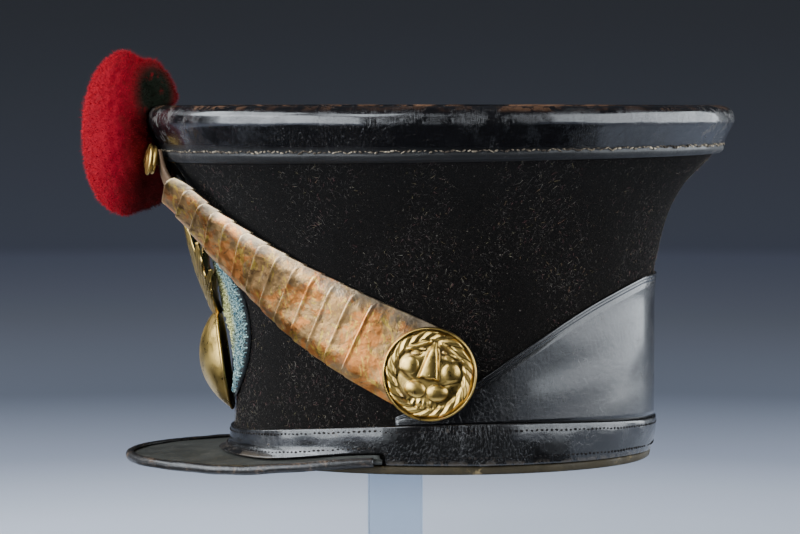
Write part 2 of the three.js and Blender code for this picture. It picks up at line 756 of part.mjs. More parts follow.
// One cross-section of a scale: flat in the middle, with both sides bent down
function scaleSection(distance, halfWidth, fullHalfWidth, foot) {
  const flat = Math.min(halfWidth * 0.98, fullHalfWidth * SCALE_FLAT_SHARE);
  const bend = (halfWidth - flat) / (fullHalfWidth * (1 - SCALE_FLAT_SHARE));
  const edge = foot - SCALE_FLANGE_DROP * bend;
  const outline = [[-halfWidth, edge], [-flat, foot], [flat, foot], [halfWidth, edge]];
  return [
    ...outline.map(([across, out]) => onStrap(distance, across, out)),
    ...outline.map(([across, out]) => onStrap(distance, across, out + SCALE_THICKNESS)).reverse(),
  ];
}

function scale(index) {
  const freeEnd = BOSS_PLATE_REACH + SCALE_PITCH * index;
  const root = freeEnd - SCALE_PITCH - SCALE_OVERLAP;
  const nextRoot = freeEnd - SCALE_OVERLAP;
  const stations = [root, nextRoot, freeEnd - SCALE_CHAMFER, freeEnd];
  return bodyFromRings(stations.map((distance, i) => {
    const full = strapHalfWidth(distance);
    const half = i === stations.length - 1 ? full - SCALE_CHAMFER : full;
    const foot = SCALE_FOOT + (SCALE_STEP * (distance - root)) / (nextRoot - root);
    return scaleSection(Math.min(distance, STRAP_END), half, full, foot);
  }));
}

function bossPlate() {
  const full = Math.min(strapHalfWidth(0), BOSS_PLATE_RADIUS);
  const roundEnd = BOSS_PLATE_END.map((turn) => ({
    distance: -BOSS_PLATE_RADIUS * Math.sin(radians(turn)),
    half: Math.min(full, BOSS_PLATE_RADIUS * Math.cos(radians(turn))),
  }));
  const nextRoot = BOSS_PLATE_REACH - SCALE_OVERLAP;
  const straight = [0, BOSS_PLATE_RADIUS / 2, BOSS_PLATE_RADIUS, nextRoot, BOSS_PLATE_REACH - SCALE_CHAMFER]
    .map((distance) => ({ distance, half: Math.min(full, strapHalfWidth(distance)) }));
  const end = { distance: BOSS_PLATE_REACH, half: strapHalfWidth(BOSS_PLATE_REACH) - SCALE_CHAMFER };
  return bodyFromRings([...roundEnd, ...straight, end].map(({ distance, half }) => {
    const past = Math.max(distance - BOSS_PLATE_RADIUS, 0) / (nextRoot - BOSS_PLATE_RADIUS);
    const foot = SCALE_FOOT + SCALE_STEP * past;
    return scaleSection(distance, half, Math.min(full, strapHalfWidth(distance)), foot);
  }));
}

const BUTTON_SIDEWAYS = new THREE.Vector3().crossVectors(UP, BUTTON_AXIS).normalize();

// The leather under the scales runs on past them as a tab that is buttoned up
function strapLeather() {
  const section = (half) => [[-half, 0], [half, 0], [half, STRAP_LEATHER], [-half, STRAP_LEATHER]];
  const first = -BOSS_PLATE_RADIUS * STRAP_FOOT_SHARE;
  const last = STRAP_END - SCALE_OVERLAP;
  const count = SCALE_COUNT + 3;
  const sections = Array.from({ length: count + 1 }, (_, i) => {
    const distance = lerp(first, last, i / count);
    const half = strapHalfWidth(distance) * STRAP_LEATHER_SHARE;
    return section(half).map(([across, out]) => onStrap(distance, across, out));
  });
  const start = strapFrame(last);
  const tabUp = BUTTON_AXIS.clone().cross(BUTTON_SIDEWAYS).normalize();
  const end = BUTTON_PLACE.clone().addScaledVector(BUTTON_AXIS, -(STRAP_LEATHER + GAP));
  end.addScaledVector(tabUp, BUTTON_DIAMETER * TAB_END_SHARE);
  TAB_STATIONS.forEach((share) => {
    const half = lerp(strapHalfWidth(last) * STRAP_LEATHER_SHARE, TAB_HALF_WIDTH, share);
    const bow = Math.sin(Math.PI * share) * STRAP_LEATHER;
    const place = start.place.clone().lerp(end, share).addScaledVector(start.out, bow);
    const out = start.out.clone().lerp(BUTTON_AXIS, share).normalize();
    const across = start.across.clone().lerp(BUTTON_SIDEWAYS, share).normalize();
    sections.push(section(half).map(([sideways, lift]) => place.clone()
      .addScaledVector(across, sideways)
      .addScaledVector(out, lift)));
  });
  const buttonhole = lathed([
    [0, -BUTTON_DIAMETER],
    [BUTTON_SHANK_RADIUS + GAP, -BUTTON_DIAMETER],
    [BUTTON_SHANK_RADIUS + GAP, 0],
    [0, 0],
  ], BUTTON_SIDES, BUTTON_PLACE, BUTTON_AXIS);
  return cut(bodyFromRings(sections), [buttonhole]);
}

function strapButton() {
  const radius = BUTTON_DIAMETER / 2;
  const bandAngle = -Math.acos(BUTTON_PLACE.x / feltPoint(0, BUTTON_PLACE.z).x);
  const seat = topBandPoint(bandAngle, TOP_BAND_SECTION[1]);
  const shank = seat.sub(BUTTON_PLACE).dot(BUTTON_AXIS) + GAP * 2;
  const head = BUTTON_PROFILE.map((row) => [radius * row.radius, BUTTON_DEPTH * row.along]);
  return lathed([
    [0, shank],
    [BUTTON_SHANK_RADIUS, shank],
    [BUTTON_SHANK_RADIUS, 0],
    ...head,
  ], BUTTON_SIDES, BUTTON_PLACE, BUTTON_AXIS);
}

// Boss: a cast disc with a raised rim, a wreath of locks and a lion's face

// Depth of the cast relief at a place given as shares of the boss radius
function bossRelief(across, up) {
  const radius = Math.hypot(across, up);
  const turn = Math.atan2(up, across);
  const faceAcross = radius * Math.cos(turn + radians(BOSS_FACE_TILT));
  const faceUp = radius * Math.sin(turn + radians(BOSS_FACE_TILT));
  const bumps = BOSS_FEATURES.map((row) => {
    const sideways = (Math.abs(faceAcross) - row.across) / row.wide;
    const along = (faceUp - row.up) / row.tall;
    return row.high * Math.exp(-(sideways ** 2 + along ** 2));
  });
  const wreath = Math.exp(-(((radius - WREATH_RADIUS) / WREATH_HALF_WIDTH) ** 2));
  const lock = 1 - WREATH_LOCK_SHARE + WREATH_LOCK_SHARE * Math.cos(WREATH_LOCKS * turn);
  const locks = WREATH_HEIGHT * wreath * lock;
  return BOSS_FIELD_HEIGHT + BOSS_RIM_HEIGHT * (Math.max(...bumps) + locks);
}

function boss() {
  const frame = strapFrame(0);
  const radius = BOSS_DIAMETER / 2;
  const place = frame.place.clone().addScaledVector(frame.out, SCALE_FOOT + SCALE_STEP + GAP);
  const upwards = UP.clone().addScaledVector(frame.out, -UP.dot(frame.out)).normalize();
  const sideways = upwards.clone().cross(frame.out).normalize();
  const ring = (share, height) => Array.from({ length: share === 0 ? 1 : BOSS_SIDES }, (_, i) => {
    const turn = (2 * Math.PI * i) / BOSS_SIDES;
    const across = share * Math.cos(turn);
    const up = share * Math.sin(turn);
    return place.clone()
      .addScaledVector(sideways, across * radius)
      .addScaledVector(upwards, up * radius)
      .addScaledVector(frame.out, height === null ? bossRelief(across, up) : height);
  });
  const field = BOSS_RINGS.map((share) => ring(share, null));
  const rim = [
    ring(BOSS_RIM_INSIDE, BOSS_RIM_HEIGHT),
    ring(1, BOSS_RIM_HEIGHT * BOSS_RIM_EDGE_SHARE),
    ring(1, 0),
  ];
  return bodyFromRings([...field, ...rim, ring(0, 0)]);
}

// Cockade, wrapped round the front of the felt, and the flaming grenade over it

function cockadePoint(share, turn, distance) {
  const radius = (COCKADE_DIAMETER / 2) * share;
  const height = COCKADE_HEIGHT + radius * Math.sin(turn);
  const sideways = feltPoint(0, height).x;
  const angle = -Math.PI / 2 + (radius * Math.cos(turn)) / sideways;
  return outFromFelt(angle, height, distance);
}

function cockade() {
  const shares = [0, 0.33, 0.67, 1];
  const ring = (share, distance) => Array.from(
    { length: share === 0 ? 1 : COCKADE_SIDES },
    (_, i) => cockadePoint(share, (2 * Math.PI * i) / COCKADE_SIDES, distance),
  );
  const inner = shares.map((share) => ring(share, SOFT_GAP));
  const outer = shares.map((share) => ring(share * 0.98, SOFT_GAP + COCKADE_THICKNESS));
  const body = bodyFromRings([...inner, ...outer.reverse()]);
  return cut(body, [ballCap(GAP)]);
}

const BALL_AXIS = new THREE.Vector3(0, -Math.cos(radians(BALL_TILT)), -Math.sin(radians(BALL_TILT)));
const BALL_CHORD = BALL_DIAMETER / 2;
const BALL_CURVE = (BALL_CHORD ** 2 + BALL_DEPTH ** 2) / (2 * BALL_DEPTH);
const BALL_STEPS = 4;

// Points from the ball's rim to its pole, as [radius, along]
function ballArc(curve) {
  const rim = Math.asin(BALL_CHORD / BALL_CURVE);
  return Array.from({ length: BALL_STEPS + 1 }, (_, i) => {
    const tilt = rim * (1 - i / BALL_STEPS);
    return [curve * Math.sin(tilt), curve * Math.cos(tilt) - (BALL_CURVE - BALL_DEPTH)];
  });
}

// The ball with its hollow filled, grown by a clearance
function ballCap(clearance) {
  const rim = [BALL_CHORD + clearance, -BALL_WALL - clearance];
  const arc = ballArc(BALL_CURVE + clearance);
  arc[0] = [rim[0], 0];
  arc[BALL_STEPS][0] = 0;
  return lathed([[0, rim[1]], rim, ...arc], BALL_SIDES, BALL_PLACE, BALL_AXIS);
}

function ballShell() {
  const outside = ballArc(BALL_CURVE);
  const inside = ballArc(BALL_CURVE - BALL_WALL).reverse();
  outside[BALL_STEPS][0] = 0;
  inside[0][0] = 0;
  return lathed([...inside, ...outside], BALL_SIDES, BALL_PLACE, BALL_AXIS);
}

// One flame: a leaf with a ridge, bent round the front of the hat
function flame({ root, tip, top, width }, side) {
  const base = BALL_PLACE.clone();
  base.z += BALL_CHORD * Math.cos(radians(BALL_TILT)) - FLAME_SINK;
  base.y -= BALL_CHORD * Math.sin(radians(BALL_TILT)) - FLAME_STAND_OFF;
  const lean = new THREE.Vector3(0, -Math.sin(radians(FLAME_LEAN)), Math.cos(radians(FLAME_LEAN)));
  const front = new THREE.Vector3(0, -Math.cos(radians(FLAME_LEAN)), -Math.sin(radians(FLAME_LEAN)));
  return bodyFromRings(FLAME_STATIONS.map((share) => {
    const sideways = side * FLAME_LENGTH * lerp(root, tip, share ** FLAME_CURL);
    const up = FLAME_LENGTH * top * share;
    const swell = Math.sin(Math.PI * (0.16 + 0.76 * share)) * (1 - 0.15 * share);
    const half = share === 1 ? FLAME_TIP_HALF_WIDTH : (FLAME_LENGTH * width * swell) / 2;
    const middle = base.clone().addScaledVector(lean, up);
    const at = (across, depth) => {
      const bend = (sideways + across) ** 2 / (2 * FLAME_BEND_RADIUS);
      return middle.clone().addScaledVector(front, depth - bend).setX(sideways + across);
    };
    const thick = FLAME_THICKNESS * (share === 1 ? FLAME_BACK_SHARE : 1);
    return [at(-half, 0), at(0, thick), at(half, 0), at(0, -thick * FLAME_BACK_SHARE)];
  }));
}

function grenadeBadge() {
  const flames = FLAMES.flatMap((row) => {
    const sides = row.root === 0 ? [1] : [1, -1];
    return sides.map((side) => flame(row, side));
  });
  return joined([ballShell(), ...flames]);
}

// Pompom and the wire that carries it

function hatEnvelope() {
  const rings = [];
  FELT_ROWS.slice(3, -3).forEach((height) => {
    rings.push(ANGLES.map((angle) => outFromFelt(angle, height, SOFT_GAP * 2)));
  });
  TOP_BAND_SECTION.slice(0, -1).forEach((row, i) => {
    rings.push(ANGLES.map((angle) => {
      const point = topBandPoint(angle, row);
      point.addScaledVector(levelNormal(angle, FELT_TOP), SOFT_GAP);
      return point.addScaledVector(UP, i < 2 ? -SOFT_GAP : SOFT_GAP);
    }));
  });
  const low = rings[0][0].z;
  const high = rings[rings.length - 1][0].z;
  return bodyFromRings([[new THREE.Vector3(0, 0, low)], ...rings, [new THREE.Vector3(0, 0, high)]]);
}

function lobeCentre({ forward, up }) {
  return new THREE.Vector3(0, -(BASE_FRONT + FRONT_FLARE + forward), FELT_TOP + up);
}

function lobe(row) {
  return ellipsoid(lobeCentre(row), new THREE.Vector3(row.wide, row.deep, row.tall), 14, 8);
}

function pompomLock(row, turn, tilt, twist) {
  const direction = new THREE.Vector3(
    Math.cos(tilt) * Math.cos(turn),
    Math.cos(tilt) * Math.sin(turn),
    Math.sin(tilt),
  );
  const surface = new THREE.Vector3(direction.x * row.wide, direction.y * row.deep, direction.z * row.tall);
  const normal = new THREE.Vector3(
    surface.x / row.wide ** 2,
    surface.y / row.deep ** 2,
    surface.z / row.tall ** 2,
  ).normalize();
  const place = surface.add(lobeCentre(row));
  const foot = Array.from({ length: 4 }, (_, i) => {
    const corner = twist + (Math.PI * i) / 2;
    return new THREE.Vector3(LOCK_RADIUS * Math.cos(corner), LOCK_RADIUS * Math.sin(corner), -LOCK_SINK);
  });
  const lock = bodyFromRings([foot, [new THREE.Vector3(0, 0, LOCK_STAND_OUT)]]);
  lock.applyQuaternion(new THREE.Quaternion().setFromUnitVectors(UP, normal));
  return lock.translate(place.x, place.y, place.z);
}

function pompom() {
  const golden = Math.PI * (3 - Math.sqrt(5));
  const locks = Array.from({ length: LOCK_COUNT }, (_, i) => {
    const tilt = Math.asin(1 - (2 * i + 1) / LOCK_COUNT);
    const turn = i * golden;
    const row = Math.sin(turn) * Math.cos(tilt) > 0.1 ? POMPOM_REAR_LOBE : POMPOM_FRONT_LOBE;
    return pompomLock(row, turn, tilt, i * 1.3);
  });
  const head = joined([lobe(POMPOM_FRONT_LOBE), lobe(POMPOM_REAR_LOBE), ...locks]);
  return cut(head, [hatEnvelope(), stemRod(STEM_RADIUS + GAP, GAP)]);
}

function stemRod(radius, margin) {
  const stands = STEM_RADIUS + GAP;
  const stations = [STEM_BOTTOM - margin, (STEM_BOTTOM + STEM_TOP) / 2, STEM_TOP + margin];
  return bodyFromRings(stations.map((height) => {
    const middle = outFromFelt(-Math.PI / 2, height, stands + SOFT_GAP);
    return Array.from({ length: STEM_SIDES }, (_, i) => {
      const turn = (2 * Math.PI * i) / STEM_SIDES;
      return middle.clone().add(new THREE.Vector3(radius * Math.cos(turn), radius * Math.sin(turn), 0));
    });
  }));
}

// Stand

const CROWN_UNDERSIDE = CROWN_EDGE_HEIGHT - CROWN_DISH - CROWN_THICKNESS;
const STAND_TOP_HEIGHT = RIM_HEIGHT + CROWN_UNDERSIDE - GAP;

function plateDisc(diameter, thickness, top) {
  const radius = diameter / 2;
  const low = top - thickness;
  const outline = [[0, low], [radius, low], [radius, top], [0, top]];
  return lathed(outline, STAND_SIDES, new THREE.Vector3(), UP);
}

function standPost() {
  const low = STAND_BASE_THICKNESS + GAP;
  const high = STAND_TOP_HEIGHT - STAND_TOP_THICKNESS - GAP;
  const geometry = new THREE.BoxGeometry(STAND_POST_WIDTH, STAND_POST_WIDTH, high - low);
  return geometry.translate(0, 0, (high + low) / 2);
}

addPiece(hat, 'felt_body', feltBody(), 'felt');
addPiece(hat, 'crown', crown(), 'blackLeather');
addPiece(hat, 'top_band', topBand(), 'blackLeather');
addPiece(hat, 'bottom_band', bottomBand(), 'blackLeather');
addPiece(hat, 'rim_strip', rimStrip(), 'brownLeather');
addPiece(hat, 'rear_panel', rearPanel(), 'blackLeather');
addPiece(hat, 'peak', peak(), 'peakLeather');
addPiece(hat, 'peak_binding', peakBinding(), 'blackLeather');
addPiece(hat, 'cockade', cockade(), 'blueWool');
addPiece(hat, 'grenade_badge', grenadeBadge(), 'brass');
addPiece(hat, 'pompom', pompom(), 'redWool');
addPiece(hat, 'pompom_stem', stemRod(STEM_RADIUS, 0), 'steel');
addPair('strap_leather', '', strapLeather(), 'brownLeather');
addPair('strap_button', '', strapButton(), 'brass');
addPair('boss_plate', '', bossPlate(), 'copperScale');
addPair('boss', '', boss(), 'brass');
for (let i = 1; i <= SCALE_COUNT; i += 1) {
  addPair('scale', `_${String(i).padStart(2, '0')}`, scale(i), 'copperScale');
}
addPiece(
  stand,
  'stand_base',
  plateDisc(STAND_BASE_DIAMETER, STAND_BASE_THICKNESS, STAND_BASE_THICKNESS),
  'acrylic',
);
addPiece(stand, 'stand_post', standPost(), 'acrylic');
addPiece(
  stand,
  'stand_top',
  plateDisc(STAND_TOP_DIAMETER, STAND_TOP_THICKNESS, STAND_TOP_HEIGHT),
  'acrylic',
);

const shako = new THREE.Group();
shako.add(hat, stand);

export default shako;
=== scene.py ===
# Looks of the shako hat with raised scale chin straps, on its clear stand.
# Lengths are in millimetres in the hat's frame (rim of the head opening at z = 0, front
# towards -Y, wearer's left towards +X) until world() turns them into metres.

import math

import bpy
import numpy as np
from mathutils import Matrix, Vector

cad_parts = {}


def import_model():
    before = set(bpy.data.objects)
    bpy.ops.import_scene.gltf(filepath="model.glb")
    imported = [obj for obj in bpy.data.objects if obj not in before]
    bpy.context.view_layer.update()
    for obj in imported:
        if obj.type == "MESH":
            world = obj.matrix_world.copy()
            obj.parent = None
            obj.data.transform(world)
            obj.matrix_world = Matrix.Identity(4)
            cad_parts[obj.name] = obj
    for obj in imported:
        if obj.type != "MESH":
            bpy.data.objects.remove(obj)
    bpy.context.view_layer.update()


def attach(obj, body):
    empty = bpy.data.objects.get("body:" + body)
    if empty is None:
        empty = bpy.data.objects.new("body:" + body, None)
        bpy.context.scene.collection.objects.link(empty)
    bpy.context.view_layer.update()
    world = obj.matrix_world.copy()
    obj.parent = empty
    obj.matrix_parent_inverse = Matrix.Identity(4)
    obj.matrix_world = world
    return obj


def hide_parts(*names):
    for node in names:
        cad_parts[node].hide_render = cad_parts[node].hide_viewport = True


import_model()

RIM_HEIGHT = 75.0
POST_FORWARD = 25.0
BODY = "root"
TAU = 2 * math.pi


# Sizes shared with the solids

GAP = 0.3
SOFT_GAP = 0.6
FELT_WALL = 2.5
FELT_TOP = 165.0
HAT_HEIGHT = 172.0
BASE_FRONT = 104.0
BASE_REAR = 101.0
BASE_HALF_WIDTH = 86.0
FRONT_FLARE = 37.5
REAR_FLARE = 34.5
SIDE_FLARE = 44.0

# Felt profile: height as a share of FELT_TOP, front and rear as shares of their flares
PROFILE_HEIGHT = [0.0, 0.12, 0.3, 0.46, 0.55, 0.61, 0.7, 0.76, 0.82, 0.88, 0.91, 1.0]
PROFILE_FRONT = [0.0, 0.0, 0.008, 0.067, 0.147, 0.227, 0.373, 0.493, 0.627, 0.8, 0.88, 1.0]
PROFILE_REAR = [-0.07, 0.0, 0.0, 0.0, 0.03, 0.084, 0.186, 0.3, 0.484, 0.768, 0.884, 1.0]

RIM_STRIP_HEIGHT = 3.9
RIM_STRIP_STAND_OUT = 1.5
BOTTOM_BAND_THICKNESS = 2.0
BOTTOM_BAND_TOP = 17.5
BOTTOM_BAND_REAR_RISE = 2.5
BOTTOM_BAND_SIDE_RISE = 6.5
BOTTOM_BAND_FRONT_FLARE = 6.0
TOP_BAND_HEIGHT = 25.0
TOP_BAND_BULGE = 5.4
TOP_BAND_REAR_RISE = 2.0
RIM_LIP = 3.0
TOP_BAND_UP = [0.0, 0.05, 0.12, 0.2, 0.5, 0.68, 0.86, 0.96, 1.0, 0.93]
TOP_BAND_OUT = [0.45, 0.66, 0.62, 0.46, 0.8, 1.0, 0.85, 0.4, -0.3, -0.95]
TOP_BAND_LOW = FELT_TOP + RIM_LIP + TOP_BAND_BULGE * 0.75 - TOP_BAND_HEIGHT

CROWN_THICKNESS = 2.2
CROWN_EDGE_HEIGHT = 160.0
CROWN_DISH = 2.0

PEAK_TIP_REACH = 158.0
PEAK_ROOT_REACH = 28.0
PEAK_HALF_WIDTH = 88.5
PEAK_THICKNESS = 2.4
PEAK_EDGE_THICKNESS = 1.6
PEAK_EDGE_HEIGHT = 0.3
PEAK_HORN_RISE = 5.6
PEAK_FOOT_SHARE = 0.4
PEAK_FOOT_FALL = 0.7
REBATE_MOST = 0.9
PEAK_SPAN = 0.985
BINDING_SPAN = 0.965
BINDING_RADIUS = 2.3
BINDING_WRAP = 2.7
BINDING_SHARE = 0.62

REAR_PANEL_THICKNESS = 1.2
REAR_PANEL_HEIGHT = 90.5
PANEL_AROUND = [-13, 8, 19, 33, 44, 57, 70, 90]
PANEL_HEIGHT = [0.3, 0.482, 0.622, 0.78, 0.876, 0.953, 0.994, 1.0]

STRAP_LEATHER = 1.8
STRAP_LEATHER_SHARE = 0.55
STRAP_LIFT = 10.6
STRAP_END_TURN = 0.3
SCALE_THICKNESS = 0.8
SCALE_COUNT = 12
SCALE_OVERLAP = 4.0
SCALE_CHAMFER = 3.0
SCALE_FLAT_SHARE = 0.62
SCALE_FLANGE_DROP = 1.8
SCALE_DOME = 0.5
SCALE_SUNK = 0.2
SCALE_EDGE_ROUND = 0.25
SCALE_LIP = 0.25
SCALE_LIP_DROP = 0.4
STRAP_HALF_WIDTH_WIDE = 20.0
STRAP_HALF_WIDTH_NARROW = 12.0
STRAP_TAPER_POWER = 0.6
BOSS_PLATE_REACH = 38.0
BOSS_PLATE_RADIUS = 21.5
BOSS_DIAMETER = 44.0
TAB_HALF_WIDTH = 4.5
BUTTON_DIAMETER = 15.3
BUTTON_DEPTH = 5.2
BUTTON_PLACE = np.array([32.0, -140.5, 145.8])
BUTTON_AXIS = np.array([0.2, -0.97, 0.137])

# Strap route: around in degrees, height as a share of FELT_TOP, lift as a share of STRAP_LIFT
STRAP_ROUTE = np.array([
    [7.5, 0.221, 0.19],
    [-3.9, 0.291, 0.19],
    [-21.1, 0.384, 0.1],
    [-38.6, 0.487, 0.12],
    [-51.9, 0.5855, 0.26],
    [-65.3, 0.698, 0.51],
    [-70.0, 0.767, 0.71],
    [-74.1, 0.842, 1.0],
])

COCKADE_DIAMETER = 82.0
COCKADE_THICKNESS = 3.0
COCKADE_HEIGHT = 68.0
BALL_DIAMETER = 50.8
BALL_DEPTH = 12.8
BALL_WALL = 1.0
BALL_PLACE = np.array([0.0, -108.6, 47.7])
BALL_TILT = 8.3
FLAME_LENGTH = 50.0
FLAME_THICKNESS = 2.4
FLAME_LEAN = 21.0
FLAME_BEND_RADIUS = 80.0
FLAME_SPREAD = 1.7

# Flames: root and tip sideways and up as shares of FLAME_LENGTH, and width likewise
FLAMES = [
    {"root": 0.0, "tip": 0.0, "top": 1.0, "width": 0.24},
    {"root": 0.08, "tip": 0.26, "top": 0.93, "width": 0.22},
    {"root": 0.14, "tip": 0.5, "top": 0.74, "width": 0.2},
    {"root": 0.16, "tip": 0.58, "top": 0.45, "width": 0.16},
]

# Pompom lobes: centre forward and up, half sizes deep, tall and wide
FRONT_LOBE = {"reach": 158.4, "height": 158.0, "deep": 19.6, "tall": 40.5, "wide": 35.0}
REAR_LOBE = {"reach": 146.0, "height": 158.0, "deep": 16.0, "tall": 37.5, "wide": 20.0}

STAND_BASE_DIAMETER = 160.0
STAND_BASE_THICKNESS = 8.0
STAND_POST_WIDTH = 27.0
STAND_TOP_DIAMETER = 100.0
STAND_TOP_THICKNESS = 5.0


# Camera at the photograph's viewing angle

CAMERA_DISTANCE = 1.5
CAMERA_SIDEWAYS = 0.0023
CAMERA_HEIGHT = 0.2522
CAMERA_LENS = 137.25
SENSOR_WIDTH = 36.0
HORIZON_ABOVE_MIDDLE = 172
FOCAL_LENGTH_IN_PIXELS = 3045
CAMERA_FALL = CAMERA_DISTANCE * HORIZON_ABOVE_MIDDLE / FOCAL_LENGTH_IN_PIXELS


def aimed(obj, target):
    direction = Vector(target) - obj.location
    obj.rotation_euler = direction.to_track_quat("-Z", "Y").to_euler()


def add_camera():
    data = bpy.data.cameras.new("camera")
    data.lens = CAMERA_LENS
    data.sensor_width = SENSOR_WIDTH
    camera = bpy.data.objects.new("camera", data)
    bpy.context.collection.objects.link(camera)
    camera.location = (CAMERA_DISTANCE, CAMERA_SIDEWAYS, CAMERA_HEIGHT)
    aimed(camera, (0.0, CAMERA_SIDEWAYS, CAMERA_HEIGHT - CAMERA_FALL))
    bpy.context.scene.camera = camera


# Meshes

def world(points):
    return (np.asarray(points, dtype=float) + (0.0, POST_FORWARD, RIM_HEIGHT)) / 1000.0


def new_object(name, points, faces, material):
    """A smooth mesh object; its points are in metres."""
    mesh = bpy.data.meshes.new(name)
    mesh.from_pydata(np.asarray(points).reshape(-1, 3).tolist(), [], [list(face) for face in faces])
    mesh.update()
    mesh.polygons.foreach_set("use_smooth", [True] * len(mesh.polygons))
    mesh.materials.append(material)
    obj = bpy.data.objects.new(name, mesh)
    bpy.context.collection.objects.link(obj)
    return obj


def add_mesh(name, points, faces, material, uv=None):
    """A piece of the hat or stand, in the hat's frame."""
    obj = new_object(name, world(points), faces, material)
    if uv is not None:
        layer = obj.data.uv_layers.new(name="surface")
        layer.data.foreach_set("uv", np.asarray(uv, dtype=np.float32).ravel())
    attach(obj, BODY)
    return obj


def set_values(obj, name, values):
    """Stores one number a point, for the material to read."""
    layer = obj.data.attributes.new(name, "FLOAT", "POINT")
    layer.data.foreach_set("value", np.asarray(values, dtype=np.float32).ravel())


def repeated(faces, points_each, count):
    """The faces of one small shape, repeated for each of count shapes."""
    start = np.arange(count)[:, None, None] * points_each
    return (start + np.array(faces)[None]).reshape(count * len(faces), -1)


def blurred(field, rounds):
    """A field over (around, along) smoothed; only the first direction closes on itself."""
    for _ in range(rounds):
        field = (field + np.roll(field, 1, 0) + np.roll(field, -1, 0)) / 3
        wide = np.concatenate([field[:, :1], field, field[:, -1:]], 1)
        field = (wide[:, :-2] + wide[:, 1:-1] + wide[:, 2:]) / 3
    return field


def set_outwards(obj):
    """Turns the faces outwards where the whole mesh is inside out."""
    mesh = obj.data
    count = len(mesh.vertices)
    points = np.empty(count * 3)
    mesh.vertices.foreach_get("co", points)
    points = points.reshape(-1, 3)
    mesh.calc_loop_triangles()
    triangles = np.empty(len(mesh.loop_triangles) * 3, dtype=np.int32)
    mesh.loop_triangles.foreach_get("vertices", triangles)
    a, b, c = (points[triangles.reshape(-1, 3)[:, k]] for k in range(3))
    if np.einsum("ij,ij->i", a, np.cross(b, c)).sum() < 0:
        mesh.flip_normals()


def grid_faces(rows, columns, around, across):
    """Quads of a grid, as point numbers and as (row, column) of each corner; around and across
    say whether the grid closes on itself each way."""
    i, k = np.indices((rows if around else rows - 1, columns if across else columns - 1)).reshape(2, -1)
    i2, k2 = (i + 1) % rows, (k + 1) % columns
    faces = np.stack([i * columns + k, i2 * columns + k, i2 * columns + k2, i * columns + k2], 1)
    corners = np.stack([np.stack(pair, 1) for pair in ((i, k), (i + 1, k), (i + 1, k + 1), (i, k + 1))], 1)
    return faces, corners


def lofted(name, sections, material, node=None, around=True, across=True):
    """A surface through sections (rows x columns x 3), capped where it is open along its rows."""
    rows, columns = sections.shape[:2]
    faces, corners = grid_faces(rows, columns, around, across)
    ring = sections if not across else np.concatenate([sections, sections[:, :1]], 1)
    steps = np.linalg.norm(np.diff(ring.mean(0), axis=0), axis=1)
    over = np.concatenate([[0.0], np.cumsum(steps)]) / 1000.0
    row_ring = sections if not around else np.concatenate([sections, sections[:1]], 0)
    row_steps = np.linalg.norm(np.diff(row_ring, axis=0), axis=2).mean(1)
    along = np.concatenate([[0.0], np.cumsum(row_steps)]) / 1000.0
    uv = np.stack([along[corners[..., 0]], over[corners[..., 1]]], -1).reshape(-1, 2)
    faces = faces.tolist()
    if not around and across:
        faces += [list(range(columns)), [(rows - 1) * columns + k for k in reversed(range(columns))]]
        uv = np.concatenate([uv, np.stack([np.full(columns, along[0]), over[:columns]], 1),
                             np.stack([np.full(columns, along[-1]), over[:columns][::-1]], 1)])
    obj = add_mesh(name, sections.reshape(-1, 3), faces, material, uv)
    set_outwards(obj)
    if node:
        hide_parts(node)
    return obj


def rounded(sections, steps, closed=True, tension=0.5):
    """Catmull-Rom through the columns of sections (rows x columns x 3)."""
    columns = sections.shape[1]
    t = (np.arange(steps) / steps)[None, :, None]
    parts = []
    for k in range(columns if closed else columns - 1):
        four = np.arange(k - 1, k + 3)
        four = four % columns if closed else np.clip(four, 0, columns - 1)
        p0, p1, p2, p3 = (sections[:, column] for column in four)
        m1 = ((p2 - p0) * tension)[:, None]
        m2 = ((p3 - p1) * tension)[:, None]
        a, b = p1[:, None], p2[:, None]
        parts.append(
            (2 * t**3 - 3 * t**2 + 1) * a + (t**3 - 2 * t**2 + t) * m1
            + (-2 * t**3 + 3 * t**2) * b + (t**3 - t**2) * m2
        )
    if not closed:
        parts.append(sections[:, -1:])
    return np.concatenate(parts, 1)


def wobble(points, size, seed):
    """Smooth noise from -1 to 1 over space: a sum of a few seeded waves of about `size` mm."""
    rng = np.random.default_rng(seed)
    total = np.zeros(points.shape[:-1])
    waves = 9
    for _ in range(waves):
        direction = rng.normal(size=3)
        direction /= np.linalg.norm(direction)
        length = size * rng.uniform(0.6, 1.6)
        total += np.sin(points @ direction * TAU / length + rng.uniform(0, TAU))
    return total / math.sqrt(waves) * 0.7


# The felt's outer surface

def smooth_table(xs, ys, x):
    """Monotone cubic through a table."""
    xs, ys = np.asarray(xs, float), np.asarray(ys, float)
    steps, rises = np.diff(xs), np.diff(ys)
    slopes = rises / steps
    tangents = np.concatenate([[slopes[0]], (slopes[:-1] + slopes[1:]) / 2, [slopes[-1]]])
    for k, slope in enumerate(slopes):
        limit = 3 * abs(slope)
        for end in (k, k + 1):
            tangents[end] = np.clip(tangents[end], -limit, limit)
    x = np.clip(x, xs[0], xs[-1])
    k = np.clip(np.searchsorted(xs, x, side="right") - 1, 0, len(steps) - 1)
    t = (x - xs[k]) / steps[k]
    return ((2 * t**3 - 3 * t**2 + 1) * ys[k] + (t**3 - 2 * t**2 + t) * steps[k] * tangents[k]
            + (-2 * t**3 + 3 * t**2) * ys[k + 1] + (t**3 - t**2) * steps[k] * tangents[k + 1])


def smoothstep(x, low, high):
    t = np.clip((x - low) / (high - low), 0.0, 1.0)
    return t * t * (3 - 2 * t)


